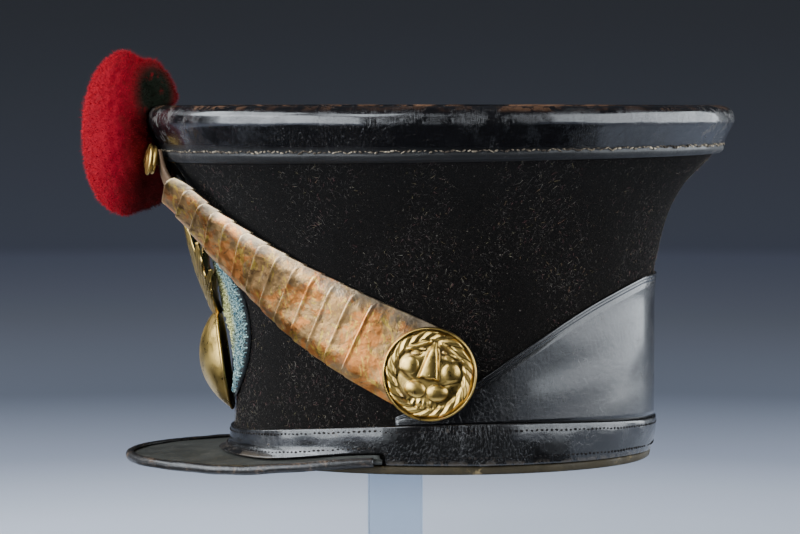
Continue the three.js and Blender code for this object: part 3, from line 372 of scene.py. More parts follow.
def felt_point(angle, height):
    angle, height = np.broadcast_arrays(np.asarray(angle, float), np.asarray(height, float))
    front_share = smooth_table(PROFILE_HEIGHT, PROFILE_FRONT, height / FELT_TOP)
    rear_share = smooth_table(PROFILE_HEIGHT, PROFILE_REAR, height / FELT_TOP)
    front = BASE_FRONT + FRONT_FLARE * front_share
    rear = BASE_REAR + REAR_FLARE * rear_share
    half_width = BASE_HALF_WIDTH + SIDE_FLARE * (front_share + rear_share) / 2
    return np.stack([
        half_width * np.cos(angle),
        (rear - front) / 2 + (rear + front) / 2 * np.sin(angle),
        height,
    ], -1)


def unit(vectors):
    return vectors / np.linalg.norm(vectors, axis=-1, keepdims=True)


NORMAL_REACH = FELT_TOP * 0.024


def felt_normal(angle, height):
    middle = np.clip(height, NORMAL_REACH, FELT_TOP - NORMAL_REACH)
    around = felt_point(angle + 0.01, middle) - felt_point(angle - 0.01, middle)
    upwards = felt_point(angle, middle + NORMAL_REACH) - felt_point(angle, middle - NORMAL_REACH)
    return unit(np.cross(around, upwards))


def off_felt(angle, height, distance):
    distance = np.asarray(distance, float)
    return felt_point(angle, height) + felt_normal(angle, height) * distance[..., None]


def out_from_felt(angle, height, distance):
    angle, height, distance = np.broadcast_arrays(
        np.asarray(angle, float), np.asarray(height, float), np.asarray(distance, float))
    level = felt_normal(angle, height).copy()
    level[..., 2] = 0
    points = felt_point(angle, height) + unit(level) * distance[..., None]
    points[..., 2] = height
    return points


def angles(count):
    return np.arange(count) * TAU / count


# Node materials

class Shader:
    """A material's node tree, with short calls for the nodes used here."""

    def __init__(self, name, **fixed):
        self.material = bpy.data.materials.new(name)
        self.material.use_nodes = True
        self.tree = self.material.node_tree
        self.bsdf = self.tree.nodes["Principled BSDF"]
        self.position = self.node("ShaderNodeTexCoord").outputs["Object"]
        for socket, value in fixed.items():
            self.bsdf.inputs[socket.replace("_", " ")].default_value = value

    def node(self, kind, inputs=None, **settings):
        node = self.tree.nodes.new(kind)
        for key, value in settings.items():
            setattr(node, key, value)
        for key, value in (inputs or {}).items():
            if isinstance(value, bpy.types.NodeSocket):
                self.tree.links.new(value, node.inputs[key])
            else:
                node.inputs[key].default_value = value
        return node

    def link(self, output, socket):
        self.tree.links.new(output, self.bsdf.inputs[socket])

    def stretched(self, stretch, uv=False):
        source = self.node("ShaderNodeUVMap", uv_map="surface").outputs[0] if uv else self.position
        return self.node("ShaderNodeMapping", {0: source, 3: stretch}).outputs[0]

    def noise(self, scale, detail=4.0, rough=0.55, distort=0.0, place=None):
        return self.node("ShaderNodeTexNoise", {
            "Vector": self.position if place is None else place, "Scale": scale, "Detail": detail,
            "Roughness": rough, "Distortion": distort,
        }).outputs["Fac"]

    def cracks(self, scale, place, width):
        """1 along the edges of a web of cells, fading to 0 beside them."""
        node = self.node(
            "ShaderNodeTexVoronoi", {"Vector": place, "Scale": scale}, feature="DISTANCE_TO_EDGE")
        return self.remap(node.outputs["Distance"], 0.0, width, 1.0, 0.0)

    def remap(self, value, low, high, to_low=0.0, to_high=1.0, smooth=True):
        return self.node("ShaderNodeMapRange", {
            "Value": value, "From Min": low, "From Max": high, "To Min": to_low, "To Max": to_high,
        }, interpolation_type="SMOOTHSTEP" if smooth else "LINEAR").outputs[0]

    def math(self, operation, a, b=0.0):
        return self.node("ShaderNodeMath", {0: a, 1: b}, operation=operation).outputs[0]

    def times(self, a, b):
        return self.math("MULTIPLY", a, b)

    def larger(self, a, b):
        return self.math("MAXIMUM", a, b)

    def below(self, value):
        """1 less the value, so that a mask sinks in a bump."""
        return self.math("SUBTRACT", 1.0, value)

    def vector(self, operation, a, b):
        return self.node("ShaderNodeVectorMath", {0: a, 1: b}, operation=operation).outputs[0]

    def length(self, vector):
        return self.node("ShaderNodeVectorMath", {0: vector}, operation="LENGTH").outputs["Value"]

    def attribute(self, name):
        return self.node("ShaderNodeAttribute", attribute_name=name).outputs["Fac"]

    def mix(self, share, a, b):
        """Mixes two colours."""
        return self.mixed("RGBA", "RGBA", share, a, b)

    def mix_value(self, share, a, b):
        return self.mixed("FLOAT", "VALUE", share, a, b)

    def mixed(self, data_type, socket_type, share, a, b):
        node = self.node("ShaderNodeMix", {"Factor": share}, data_type=data_type)
        for key, value in (("A", a), ("B", b)):
            socket = [s for s in node.inputs if s.name == key and s.type == socket_type][0]
            if isinstance(value, bpy.types.NodeSocket):
                self.tree.links.new(value, socket)
            else:
                socket.default_value = (*value, 1.0) if socket_type == "RGBA" else value
        return [s for s in node.outputs if s.type == socket_type][0]

    def ramp(self, value, stops):
        node = self.node("ShaderNodeValToRGB", {"Fac": value})
        ramp = node.color_ramp
        while len(ramp.elements) < len(stops):
            ramp.elements.new(0.5)
        for element, (position, color) in zip(ramp.elements, stops):
            element.position = position
            element.color = (*color, 1.0)
        return node.outputs["Color"]

    def bent(self, place, scale, reach):
        """A place moved by a small offset that varies over space, to bend lines."""
        colour = self.node("ShaderNodeTexNoise", {
            "Vector": self.position, "Scale": scale, "Detail": 3.0,
        }).outputs["Color"]
        centred = self.vector("SUBTRACT", colour, (0.5, 0.5, 0.5))
        return self.vector("ADD", place, self.vector("MULTIPLY", centred, (reach, reach, reach)))

    def axis(self, name):
        return self.node("ShaderNodeSeparateXYZ", {0: self.position}).outputs[name]

    def blob(self, centre, size, soft=0.6):
        """1 inside an ellipsoid in the hat's frame, fading to 0 at its edge."""
        moved = self.vector("SUBTRACT", self.position, tuple(world(centre)))
        scaled = self.vector("MULTIPLY", moved, tuple(1000.0 / s for s in size))
        return self.remap(self.length(scaled), 1.0 - soft, 1.0, 1.0, 0.0)

    def bump(self, height, strength, distance, under=None):
        inputs = {"Height": height, "Strength": strength, "Distance": distance}
        if under is not None:
            inputs["Normal"] = under
        return self.node("ShaderNodeBump", inputs).outputs[0]

    def finished(self, colour=None, roughness=None, normal=None):
        """Links what varies and returns the material."""
        for output, socket in ((colour, "Base Color"), (roughness, "Roughness"), (normal, "Normal")):
            if output is not None:
                self.link(output, socket)
        return self.material


def level(first, second):
    """Two heights in the hat's frame as world heights in metres."""
    return (RIM_HEIGHT + first) / 1000, (RIM_HEIGHT + second) / 1000


def felt_material():
    s = Shader("felt", Roughness=1.0, Specular_IOR_Level=0.03, Sheen_Weight=0.02, Sheen_Roughness=0.5)
    fibre_a = s.noise(1500, 3, 0.7, 1.2, place=s.stretched((1, 1, 3.5)))
    fibre_b = s.noise(1150, 3, 0.7, 1.4, place=s.stretched((2.8, 2.8, 0.8)))
    fibre = s.larger(fibre_a, fibre_b)
    base = s.mix(s.noise(28, 5, 0.6), (0.0016, 0.0014, 0.0014), (0.0060, 0.0049, 0.0043))
    lit = s.mix(s.remap(fibre, 0.58, 0.74), base, (0.050, 0.039, 0.032))
    pale = s.mix(s.remap(s.noise(900, 2, 0.5), 0.70, 0.78), lit, (0.17, 0.145, 0.12))
    coarse = s.bump(s.noise(230, 4, 0.6), 0.5, 0.0012)
    return s.finished(pale, normal=s.bump(fibre, 1.0, 0.0009, coarse))


def leather_base(s, stretch, grain=1.0, crack=1.0):
    """Bump of grain and fine cracks that run across the band, and the crack mask."""
    lines = s.stretched(stretch, uv=True)
    crack_mask = s.cracks(430, s.bent(lines, 300, 0.0012), 0.045)
    crack_mask = s.times(crack_mask, s.remap(s.noise(42, 4, 0.6), 0.44, 0.56))
    waves = s.bump(s.noise(30, 3, 0.5), 0.4, 0.003)
    waves = s.bump(s.noise(95, 4, 0.6), 0.3, 0.0012, waves)
    pebble = s.bump(s.noise(620, 4, 0.6), 0.06 * grain, 0.0005, waves)
    rough = s.remap(s.noise(55, 5, 0.7), 0.45, 0.62, 0.15, 1.0)
    wrinkles = s.times(s.noise(640, 4, 0.7, 0.6, place=lines), rough)
    fine = s.bump(wrinkles, 0.42 * crack, 0.0007, pebble)
    return s.bump(s.below(crack_mask), 0.45 * crack, 0.0004, fine), crack_mask


# What the three glossy leathers share
GLOSS_SOCKETS = {"Specular_IOR_Level": 0.4, "Coat_Weight": 0.5, "Coat_Roughness": 0.11}


def top_band_material():
    s = Shader("glossy_leather_top", **GLOSS_SOCKETS)
    normal, crack = leather_base(s, stretch=(3.6, 0.45, 1.0))
    height = s.axis("Z")
    rise = s.remap(height, *level(HAT_HEIGHT - 3.2, HAT_HEIGHT + 1.0))
    worn = s.times(rise, s.remap(s.noise(80, 8, 0.78), 0.47, 0.58))
    worn = s.times(worn, s.remap(s.noise(14, 2), 0.44, 0.56, 0.25, 1.0))
    ends = s.remap(s.math("ABSOLUTE", s.math("SUBTRACT", s.axis("Y"), 0.022)), 0.112, 0.134)
    end_wear = s.times(ends, s.remap(s.noise(130, 8, 0.75), 0.52, 0.6))
    scuffs = s.remap(s.noise(150, 8, 0.78, place=s.stretched((1.0, 1.0, 3.0))), 0.62, 0.68)
    base = s.mix(s.noise(30, 4), (0.0016, 0.0016, 0.002), (0.0055, 0.005, 0.0055))
    dusty = s.mix(s.times(crack, 0.15), base, (0.08, 0.07, 0.06))
    scuffed = s.mix(s.times(scuffs, 0.35), dusty, (0.10, 0.09, 0.08))
    scuffed = s.mix(s.times(end_wear, 0.35), scuffed, (0.14, 0.12, 0.105))
    colour = s.mix(s.times(worn, 0.85), scuffed, (0.20, 0.095, 0.045))
    gloss = s.remap(s.noise(45, 5), 0.3, 0.75, 0.13, 0.27)
    lip = s.remap(height, *level(155, 150.5))
    front = s.remap(s.axis("Y"), -0.112, -0.128)
    dull = s.larger(s.larger(lip, s.times(front, 0.9)), s.larger(worn, end_wear))
    s.link(s.mix_value(dull, 0.5, 0.08), "Coat Weight")
    return s.finished(colour, s.mix_value(dull, gloss, 0.62), normal)


def bottom_band_material():
    s = Shader("glossy_leather_bottom", **GLOSS_SOCKETS)
    normal, crack = leather_base(s, grain=1.3, crack=0.8, stretch=(2.2, 0.8, 1.0))
    base = s.mix(s.noise(40, 4), (0.002, 0.002, 0.0024), (0.0075, 0.0068, 0.0065))
    dusty = s.mix(s.times(crack, 0.12), base, (0.06, 0.055, 0.05))
    brown = s.remap(s.noise(95, 8, 0.75), 0.6, 0.68)
    foot = s.remap(s.axis("Z"), *level(7.5, 4.0))
    brown = s.larger(brown, s.times(foot, s.remap(s.noise(120, 8, 0.75), 0.45, 0.55)))
    colour = s.mix(s.times(brown, 0.6), dusty, (0.075, 0.055, 0.036))
    gloss = s.remap(s.noise(60, 5), 0.3, 0.75, 0.14, 0.32)
    return s.finished(colour, s.mix_value(brown, gloss, 0.6), normal)


def rear_panel_material():
    s = Shader("glossy_leather_rear", **GLOSS_SOCKETS)
    crease = s.cracks(70, s.bent(s.position, 120, 0.006), 0.012)
    crease = s.times(crease, s.remap(s.noise(38, 3), 0.52, 0.6))
    fine = s.cracks(460, s.bent(s.position, 420, 0.0012), 0.04)
    fine = s.times(fine, s.remap(s.noise(50, 4), 0.42, 0.58))
    base = s.mix(s.noise(32, 5), (0.002, 0.002, 0.0025), (0.0065, 0.006, 0.0062))
    dusty = s.mix(s.times(s.larger(crease, fine), 0.12), base, (0.05, 0.045, 0.04))
    roughness = s.remap(s.noise(65, 7, 0.72), 0.3, 0.75, 0.17, 0.30)
    waves = s.bump(s.noise(34, 4, 0.5), 0.22, 0.003)
    grain = s.bump(s.noise(700, 5, 0.75, place=s.stretched((1.0, 1.0, 0.5))), 0.45, 0.0005, waves)
    sunk = s.bump(s.below(crease), 0.3, 0.0006, grain)
    return s.finished(dusty, roughness, s.bump(s.below(fine), 0.35, 0.00025, sunk))


def peak_material():
    s = Shader("dull_leather_peak", Specular_IOR_Level=0.4)
    base = s.mix(s.noise(38, 6, 0.65), (0.012, 0.0125, 0.0115), (0.042, 0.043, 0.036))
    scuff = s.remap(s.noise(210, 8, 0.78), 0.56, 0.66)
    colour = s.mix(s.times(scuff, 0.5), base, (0.13, 0.12, 0.10))
    roughness = s.remap(s.noise(70, 5), 0.3, 0.7, 0.45, 0.72)
    coarse = s.bump(s.noise(60, 4), 0.3, 0.002)
    return s.finished(colour, roughness, s.bump(s.noise(600, 5, 0.7), 0.4, 0.0006, coarse))


def binding_material():
    s = Shader("glossy_leather_binding", Specular_IOR_Level=0.4, Coat_Weight=0.25, Coat_Roughness=0.2)
    normal, _ = leather_base(s, grain=1.2, stretch=(2.4, 0.8, 1.0))
    base = s.mix(s.noise(50, 6), (0.003, 0.003, 0.0032), (0.014, 0.012, 0.011))
    worn = s.remap(s.noise(120, 8, 0.75), 0.53, 0.62)
    colour = s.mix(s.times(worn, 0.55), base, (0.13, 0.085, 0.055))
    roughness = s.remap(s.noise(70, 5), 0.3, 0.7, 0.25, 0.5)
    return s.finished(colour, roughness, normal)


def rim_material():
    s = Shader("worn_leather_rim", Specular_IOR_Level=0.2)
    base = s.mix(s.noise(90, 8, 0.75), (0.010, 0.008, 0.004), (0.060, 0.045, 0.022))
    tan = s.remap(s.noise(60, 8, 0.78), 0.57, 0.66)
    colour = s.mix(s.times(tan, 0.8), base, (0.25, 0.18, 0.085))
    roughness = s.remap(s.noise(80, 5), 0.3, 0.7, 0.45, 0.8)
    return s.finished(colour, roughness, s.bump(s.noise(420, 6, 0.7), 0.6, 0.0008))


def strap_leather_material():
    s = Shader("strap_leather", Specular_IOR_Level=0.4)
    colour = s.mix(s.noise(90, 6), (0.045, 0.024, 0.011), (0.13, 0.072, 0.034))
    roughness = s.remap(s.noise(80, 5), 0.3, 0.7, 0.5, 0.8)
    return s.finished(colour, roughness, s.bump(s.noise(520, 6, 0.7), 0.5, 0.0007))


def scale_material():
    """Copper with gold and brown streaks; point attributes: `upper` edge of the strap, where a grey
    reflection is painted, and `worn` free edges, where a pale line is painted that is partly rubbed metal and
    partly a painted highlight.
    """
    s = Shader("copper_scales", Metallic=1.0)
    tan = s.mix(s.noise(75, 6, 0.65), (0.42, 0.205, 0.070), (0.73, 0.46, 0.20))
    orange = s.remap(s.noise(66, 7, 0.68, 1.0), 0.47, 0.57)
    copper = s.mix(s.times(orange, 0.85), tan, (0.78, 0.27, 0.065))
    streaks = s.noise(88, 8, 0.72, 2.6, place=s.stretched((1.0, 1.35, 0.6)))
    gold = s.mix(s.times(s.remap(streaks, 0.545, 0.60), 0.8), copper, (0.90, 0.60, 0.11))
    brown = s.remap(s.noise(105, 8, 0.76, 1.6, place=s.stretched((1.0, 1.0, 0.7))), 0.55, 0.64)
    dull = s.mix(s.times(brown, 0.75), gold, (0.20, 0.105, 0.05))
    grey = s.remap(s.noise(58, 6, 0.7, 0.8), 0.55, 0.66)
    dull = s.mix(s.times(grey, 0.4), dull, (0.42, 0.32, 0.22))
    # Painted reflection: the strap's upper bent edge is turned grey-silver, standing in for how it catches
    # the light from above.
    uneven = s.remap(s.noise(110, 7, 0.75), 0.25, 0.75, -0.6, 0.6, smooth=False)
    ragged = s.math("ADD", s.attribute("upper"), uneven)
    upper_edge_reflection = s.mix(s.times(s.remap(ragged, 0.5, 1.0), 0.8), dull, (0.23, 0.20, 0.155))
    spots = s.remap(s.noise(250, 7, 0.78), 0.61, 0.67)
    spotted = s.mix(s.times(spots, 0.85), upper_edge_reflection, (0.05, 0.038, 0.026))
    # Pale free edges: partly rubbed metal, partly a painted highlight where the edge catches light.
    edge_wear_and_highlight = s.times(s.attribute("worn"), s.remap(s.noise(150, 5, 0.7), 0.44, 0.62, 0.0, 0.6))
    colour = s.mix(edge_wear_and_highlight, spotted, (0.85, 0.66, 0.38))
    roughness = s.remap(s.noise(140, 7, 0.72), 0.3, 0.75, 0.30, 0.52)
    dents = s.bump(s.noise(80, 4), 0.45, 0.0016)
    return s.finished(colour, roughness, s.bump(s.noise(700, 5, 0.7), 0.16, 0.0004, dents))


def brass_material():
    """Aged brass; the point attribute `recess_shade` paints shade on what lies deep."""
    s = Shader("aged_brass", Metallic=1.0)
    bright = s.mix(s.noise(85, 6, 0.65), (0.44, 0.28, 0.065), (0.78, 0.54, 0.17))
    tarnish = s.remap(s.noise(150, 6, 0.7), 0.52, 0.68)
    aged = s.mix(s.times(tarnish, 0.55), bright, (0.27, 0.16, 0.055))
    pink = s.remap(s.noise(95, 4, 0.6), 0.56, 0.66)
    aged = s.mix(s.times(pink, 0.25), aged, (0.62, 0.34, 0.21))
    colour = s.mix(s.times(s.attribute("recess_shade"), 0.75), aged, (0.045, 0.027, 0.010))
    roughness = s.remap(s.noise(120, 6, 0.7), 0.3, 0.75, 0.24, 0.44)
    return s.finished(colour, roughness, s.bump(s.noise(500, 5, 0.7), 0.14, 0.0004))


def steel_material():
    s = Shader("stem_steel", Metallic=1.0)
    colour = s.mix(s.noise(140), (0.16, 0.16, 0.16), (0.30, 0.30, 0.30))
    return s.finished(colour, s.remap(s.noise(200), 0.3, 0.75, 0.35, 0.55))


def wool_material(name, dark, light, scale):
    s = Shader(name, Roughness=1.0, Specular_IOR_Level=0.1, Sheen_Weight=0.2, Sheen_Roughness=0.6)
    colour = s.mix(s.noise(scale, 5, 0.7), dark, light)
    return s.finished(colour, normal=s.bump(s.noise(scale * 6, 4, 0.7), 0.7, 0.0008))


def pompom_material():
    s = Shader("red_wool", Roughness=1.0, Specular_IOR_Level=0.06, Sheen_Weight=0.03, Sheen_Roughness=0.4,
               Sheen_Tint=(1.0, 0.2, 0.2, 1.0))
    fine = s.mix(s.attribute("tone"), (0.15, 0.0030, 0.008), (0.40, 0.007, 0.016))
    red = s.mix(s.remap(s.noise(90, 5, 0.65), 0.55, 0.75), fine, (0.13, 0.005, 0.008))
    # Darker towards the lower rear of the pompom.
    low = s.blob((0, -142, 130), (60, 24, 48), 0.8)
    darker_low_rear = s.times(low, s.remap(s.noise(110, 5, 0.7), 0.3, 0.6, 0.5, 1.0))
    red = s.mix(darker_low_rear, red, (0.040, 0.005, 0.005))
    # Painted shade: the pompom's side towards the hat is darkened in its colour, as if in shadow.
    shadow = s.blob((20, -133, 156), (50, 31, 62), 0.75)
    shaded_side = s.times(shadow, s.remap(s.noise(80, 6, 0.72), 0.34, 0.62, 0.25, 0.95))
    red = s.mix(shaded_side, red, (0.055, 0.006, 0.005))
    # Painted shade: a near-black patch where the wool parts between the front and rear lobes.
    cavity_shade = s.blob((14, -142, 177), (28, 13, 22), 0.55)
    ragged = s.times(cavity_shade, s.remap(s.noise(170, 5, 0.7), 0.3, 0.45))
    return s.finished(s.mix(ragged, red, (0.007, 0.010, 0.006)))


def cockade_material():
    s = Shader("cockade_wool", Roughness=1.0, Specular_IOR_Level=0.1)
    moved = s.vector("SUBTRACT", s.position, tuple(world((0, -110, COCKADE_HEIGHT))))
    ring = s.remap(s.length(s.vector("MULTIPLY", moved, (1.0, 0.35, 1.0))), 0.026, 0.034)
    speckle = s.remap(s.noise(480, 4, 0.7), 0.35, 0.65)
    inner = s.mix(speckle, (0.13, 0.135, 0.05), (0.52, 0.50, 0.22))
    outer = s.mix(speckle, (0.03, 0.075, 0.10), (0.27, 0.37, 0.33))
    return s.finished(s.mix(ring, inner, outer), normal=s.bump(s.noise(900, 4, 0.7), 0.7, 0.0006))


def acrylic_material():
    s = Shader("clear_acrylic", Base_Color=(0.64, 0.74, 0.86, 1.0), IOR=1.49, Transmission_Weight=0.96)
    return s.finished(roughness=s.remap(s.noise(40, 5), 0.3, 0.7, 0.02, 0.07))


def thread_material(name, dark, light):
    s = Shader(name, Roughness=0.9, Specular_IOR_Level=0.2)
    patches = s.remap(s.noise(22, 3, 0.6), 0.40, 0.62, 0.25, 1.0)
    share = s.times(s.remap(s.noise(190, 6, 0.75), 0.42, 0.62), patches)
    return s.finished(s.mix(share, dark, light))


# Felt body, rim strip and bands

def felt_body(material):
    around = angles(240)[:, None]
    heights = np.linspace(RIM_STRIP_HEIGHT + GAP, FELT_TOP, 64)[None, :]
    outer = felt_point(around, heights)
    outer = outer + felt_normal(around, heights) * (wobble(outer, 46, 3) * 0.4)[..., None]
    inner_heights = np.linspace(RIM_STRIP_HEIGHT + GAP, FELT_TOP, 26)[None, ::-1]
    inner = out_from_felt(around, inner_heights, -FELT_WALL)
    lofted("felt_wall", np.concatenate([outer, inner], 1), material, "felt_body")


def spikes(name, roots, tips, width, tone, material):
    """Thin closed spikes from roots to tips, with a point attribute `tone` for their colour."""
    rng = np.random.default_rng(len(roots))
    along = unit(tips - roots)
    side = unit(np.cross(along, rng.normal(size=along.shape)))
    third = np.cross(along, side)
    turns = [0.0, TAU / 3, 2 * TAU / 3]
    corners = [roots + (side * math.cos(t) + third * math.sin(t)) * (width / 2)[:, None] for t in turns]
    points = np.stack(corners + [tips], 1).reshape(-1, 3)
    faces = repeated([[0, 2, 1], [0, 1, 3], [1, 2, 3], [2, 0, 3]], 4, len(roots))
    obj = add_mesh(name, points, faces, material)
    set_values(obj, "tone", np.repeat(tone, 4))


def tone_material(name, stops):
    s = Shader(name, Roughness=0.95, Specular_IOR_Level=0.15)
    return s.finished(s.ramp(s.attribute("tone"), stops))


FELT_FIBRES = 40000
FELT_MEAN_RADIUS = 110


def felt_fibres(material):
    """Short loose fibres; heights in mm, around by the felt's mean radius."""
    rng = np.random.default_rng(11)
    angle = rng.uniform(0, TAU, FELT_FIBRES)
    height = rng.uniform(14, 150, FELT_FIBRES)
    length = 0.8 + 2.4 * rng.random(FELT_FIBRES) ** 2
    turn = rng.uniform(0, TAU, FELT_FIBRES)
    root = off_felt(angle, height, np.full(FELT_FIBRES, -0.1))
    tip_angle = angle + length * np.cos(turn) / FELT_MEAN_RADIUS
    tip_height = np.clip(height + length * np.sin(turn), 5, 155)
    tip = off_felt(tip_angle, tip_height, rng.uniform(0.1, 0.7, FELT_FIBRES))
    width = rng.uniform(0.07, 0.15, FELT_FIBRES)
    spikes("felt_fibres", root, tip, width, rng.uniform(0, 1, FELT_FIBRES), material)


def rim_strip(material):
    around = angles(240)[:, None]
    inside, outside = -FELT_WALL, RIM_STRIP_STAND_OUT
    rows = [(RIM_STRIP_HEIGHT, inside), (1.0, inside + 0.2), (0.0, inside + 1.3), (0.0, outside - 1.3),
            (0.9, outside), (RIM_STRIP_HEIGHT, outside)]
    sections = np.concatenate([out_from_felt(around, h, d) for h, d in rows], 1)
    sections = rounded(sections, 3, tension=0.35)
    sections[..., 2] += wobble(sections, 22, 5) * 0.15 * (sections[..., 2] > 0.6)
    lofted("rim_turning", sections, material, "rim_strip")


HORN_ANGLE = math.asin(-PEAK_ROOT_REACH / ((BASE_FRONT + BASE_REAR) / 2))
SEAM_ANGLES = (math.radians(4.4), math.radians(15.0))
SEAM_STEP = 0.7
BAND_ROLL = 0.35
FLARE_SHARE = 0.42
FELT_BOTTOM = RIM_STRIP_HEIGHT + GAP


def horn_share(angle):
    return np.arccos(np.clip(-np.sin(angle), -1, 1)) / (math.pi / 2 + HORN_ANGLE)


def bottom_band_low(angle):
    share = horn_share(angle)
    rise = PEAK_HORN_RISE * smoothstep(share, 0.45, 1)
    return FELT_BOTTOM + rise * (1 - smoothstep(share, 1.0, 1.012))


def bottom_band_high(angle):
    side_rise = BOTTOM_BAND_SIDE_RISE * np.cos(angle) ** 2
    return BOTTOM_BAND_TOP + BOTTOM_BAND_REAR_RISE * np.sin(angle) + side_rise


def bottom_band_outside(angle, share):
    """A point on the band's outer face: share runs from its lower edge to its upper edge."""
    low, high = bottom_band_low(angle), bottom_band_high(angle)
    flare = BOTTOM_BAND_FRONT_FLARE * (1 - smoothstep(horn_share(angle), 0.3, 1))
    lap = SEAM_STEP * smoothstep(angle, SEAM_ANGLES[0], SEAM_ANGLES[0] + 0.008)
    lap = lap * (1 - smoothstep(angle, SEAM_ANGLES[1], SEAM_ANGLES[1] + 0.25))
    roll = BAND_ROLL * (1 - (2 * share - 1) ** 2)
    foot = flare * np.clip(1 - share / FLARE_SHARE, 0, 1) ** 2
    stand_out = GAP + BOTTOM_BAND_THICKNESS + foot + lap + roll
    return out_from_felt(angle, low + (high - low) * share, stand_out)


# Shares of the band's height that its outer face passes through, from the top down
BAND_SHARES = [0.985, 0.94, 0.86, 0.76, 0.66, 0.56, 0.46, 0.36, 0.28, 0.2, 0.13, 0.07, 0.02]


def bottom_band(material):
    around = angles(600)[:, None]
    low, high = bottom_band_low(around), bottom_band_high(around)
    inner = [out_from_felt(around, height, GAP) for height in (low, (low + high) / 2, high)]
    inner.append(out_from_felt(around, high, GAP + BOTTOM_BAND_THICKNESS * 0.6))
    outer = [bottom_band_outside(around, share) for share in BAND_SHARES]
    sections = np.concatenate(inner + outer, 1)
    outside = sections[:, len(inner):]
    outside[..., :2] *= (1 + wobble(outside, 20, 7) * 0.0016)[..., None]
    lofted("bottom_band_leather", sections, material, "bottom_band")


def beads(name, centres, along, out, length, width, height, material):
    """Small rounded stitches, each lying along `along` and rising along `out`."""
    sides, rows = 6, 4
    across = np.cross(along, out)
    rings = []
    for row in range(1, rows):
        tilt = math.pi * (row / rows - 0.5)
        for k in range(sides):
            turn = TAU * k / sides
            rings.append(
                centres + along * (length / 2 * math.sin(tilt))
                + across * (width / 2 * math.cos(tilt) * math.cos(turn))
                + out * (height / 2 * math.cos(tilt) * math.sin(turn))
            )
    points = np.stack([centres - along * length / 2] + rings + [centres + along * length / 2], 1)
    count = points.shape[1]
    faces = []
    for k in range(sides):
        k2 = (k + 1) % sides
        faces.append([0, 1 + k2, 1 + k, 1 + k])
        for row in range(rows - 2):
            base = 1 + row * sides
            faces.append([base + k, base + k2, base + sides + k2, base + sides + k])
        base = 1 + (rows - 2) * sides
        faces.append([base + k, base + k2, count - 1, count - 1])
    clean = [list(dict.fromkeys(quad)) for quad in repeated(faces, count, len(centres)).tolist()]
    set_outwards(add_mesh(name, points.reshape(-1, 3), clean, material))


# Stitches: pitch along the row, and length, width and height of one
STITCH_PITCH = 2.5
TOP_STITCH = (2.6, 1.0, 1.0)
BOTTOM_STITCH = (1.7, 1.2, 0.6)


def stitch_angles(radius, first=0.0, last=TAU):
    count = int((last - first) * radius / STITCH_PITCH)
    return first + (last - first) * (np.arange(count) + 0.5) / count


def stitch_row(name, point, angle, size, loose, material):
    """Stitches along the line that point(angle) draws round the hat; loose says how uneven they are."""
    rng = np.random.default_rng(len(name))
    count = len(angle)
    centres = point(angle)
    along = unit(point(angle + 0.01) - point(angle - 0.01))
    out = felt_normal(angle, np.clip(centres[:, 2], 0, FELT_TOP))
    out = unit(out - along * (out * along).sum(1, keepdims=True))
    centres = centres + out * (rng.uniform(-0.3, 0.3, count) * loose)[:, None]
    centres[:, 2] += rng.uniform(-0.5, 0.5, count) * loose
    skew = unit(along + rng.uniform(-0.7, 0.7, (count, 1)) * loose * np.array([[0, 0, 1.0]]))
    length, width, height = (s * (1 + rng.uniform(-0.6, 0.35, (count, 1)) * loose) for s in size)
    beads(name, centres, skew, out, length, width, height, material)


def bottom_band_stitches(material):
    for name, share in (("bottom_band_stitches_upper", 0.83), ("bottom_band_stitches_lower", 0.2)):
        def line(angle):
            return bottom_band_outside(angle, share)

        stitch_row(name, line, stitch_angles(98), BOTTOM_STITCH, 0.35, material)


# Peak

def peak_height(share):
    return PEAK_EDGE_HEIGHT + PEAK_HORN_RISE * smoothstep(np.abs(share), 0.55, 1)


def peak_edge(share):
    turn = -math.pi / 2 + share * math.pi / 2
    depth = PEAK_TIP_REACH - PEAK_ROOT_REACH
    point = np.stack([PEAK_HALF_WIDTH * np.cos(turn), -PEAK_ROOT_REACH + depth * np.sin(turn),
                      peak_height(share)], -1)
    outwards = unit(np.stack([depth * np.cos(turn), PEAK_HALF_WIDTH * np.sin(turn), 0 * turn], -1))
    return point - outwards * (BINDING_RADIUS * BINDING_SHARE + GAP)


def peak_line(share):
    angle = -math.pi / 2 + share * (math.pi / 2 + HORN_ANGLE)
    low = bottom_band_low(angle) - SOFT_GAP - PEAK_THICKNESS / 2
    inner = out_from_felt(angle, low, RIM_STRIP_STAND_OUT + GAP)
    outer = peak_edge(share)
    foot = inner + (outer - inner) * PEAK_FOOT_SHARE
    foot[..., 2] = inner[..., 2] + (outer - inner)[..., 2] * PEAK_FOOT_FALL
    along = unit(peak_edge(share + 0.02) - peak_edge(share - 0.02))
    outwards = outer - foot
    outwards = unit(outwards - along * (outwards * along).sum(-1, keepdims=True))
    upwards = np.cross(outwards, along)
    upwards = unit(upwards * np.sign(upwards[..., 2:3]))
    width = np.linalg.norm(outer - foot, axis=-1, keepdims=True)
    rebate = outer - outwards * np.minimum(BINDING_WRAP + GAP, width * REBATE_MOST)
    return inner, foot, rebate, outer, outwards, upwards


def peak(material):
    share = np.linspace(-PEAK_SPAN, PEAK_SPAN, 181)
    inner, foot, rebate, outer, _, upwards = peak_line(share)
    line = rounded(np.stack([inner, foot, rebate, outer], 1), 8, closed=False)
    steps = np.linspace(0, 3, line.shape[1])
    half = np.interp(steps, [1, 2], [PEAK_THICKNESS / 2, PEAK_EDGE_THICKNESS / 2])
    thick = upwards[:, None] * half[None, :, None]
    top, bottom = line + thick, line - thick
    free = np.sin(steps / 3 * math.pi)[None, :]
    top[..., 2] += wobble(top, 40, 9) * 0.35 * free
    sections = np.concatenate([top, bottom[:, ::-1]], 1)
    lofted("peak_leather", sections, material, "peak", around=False)


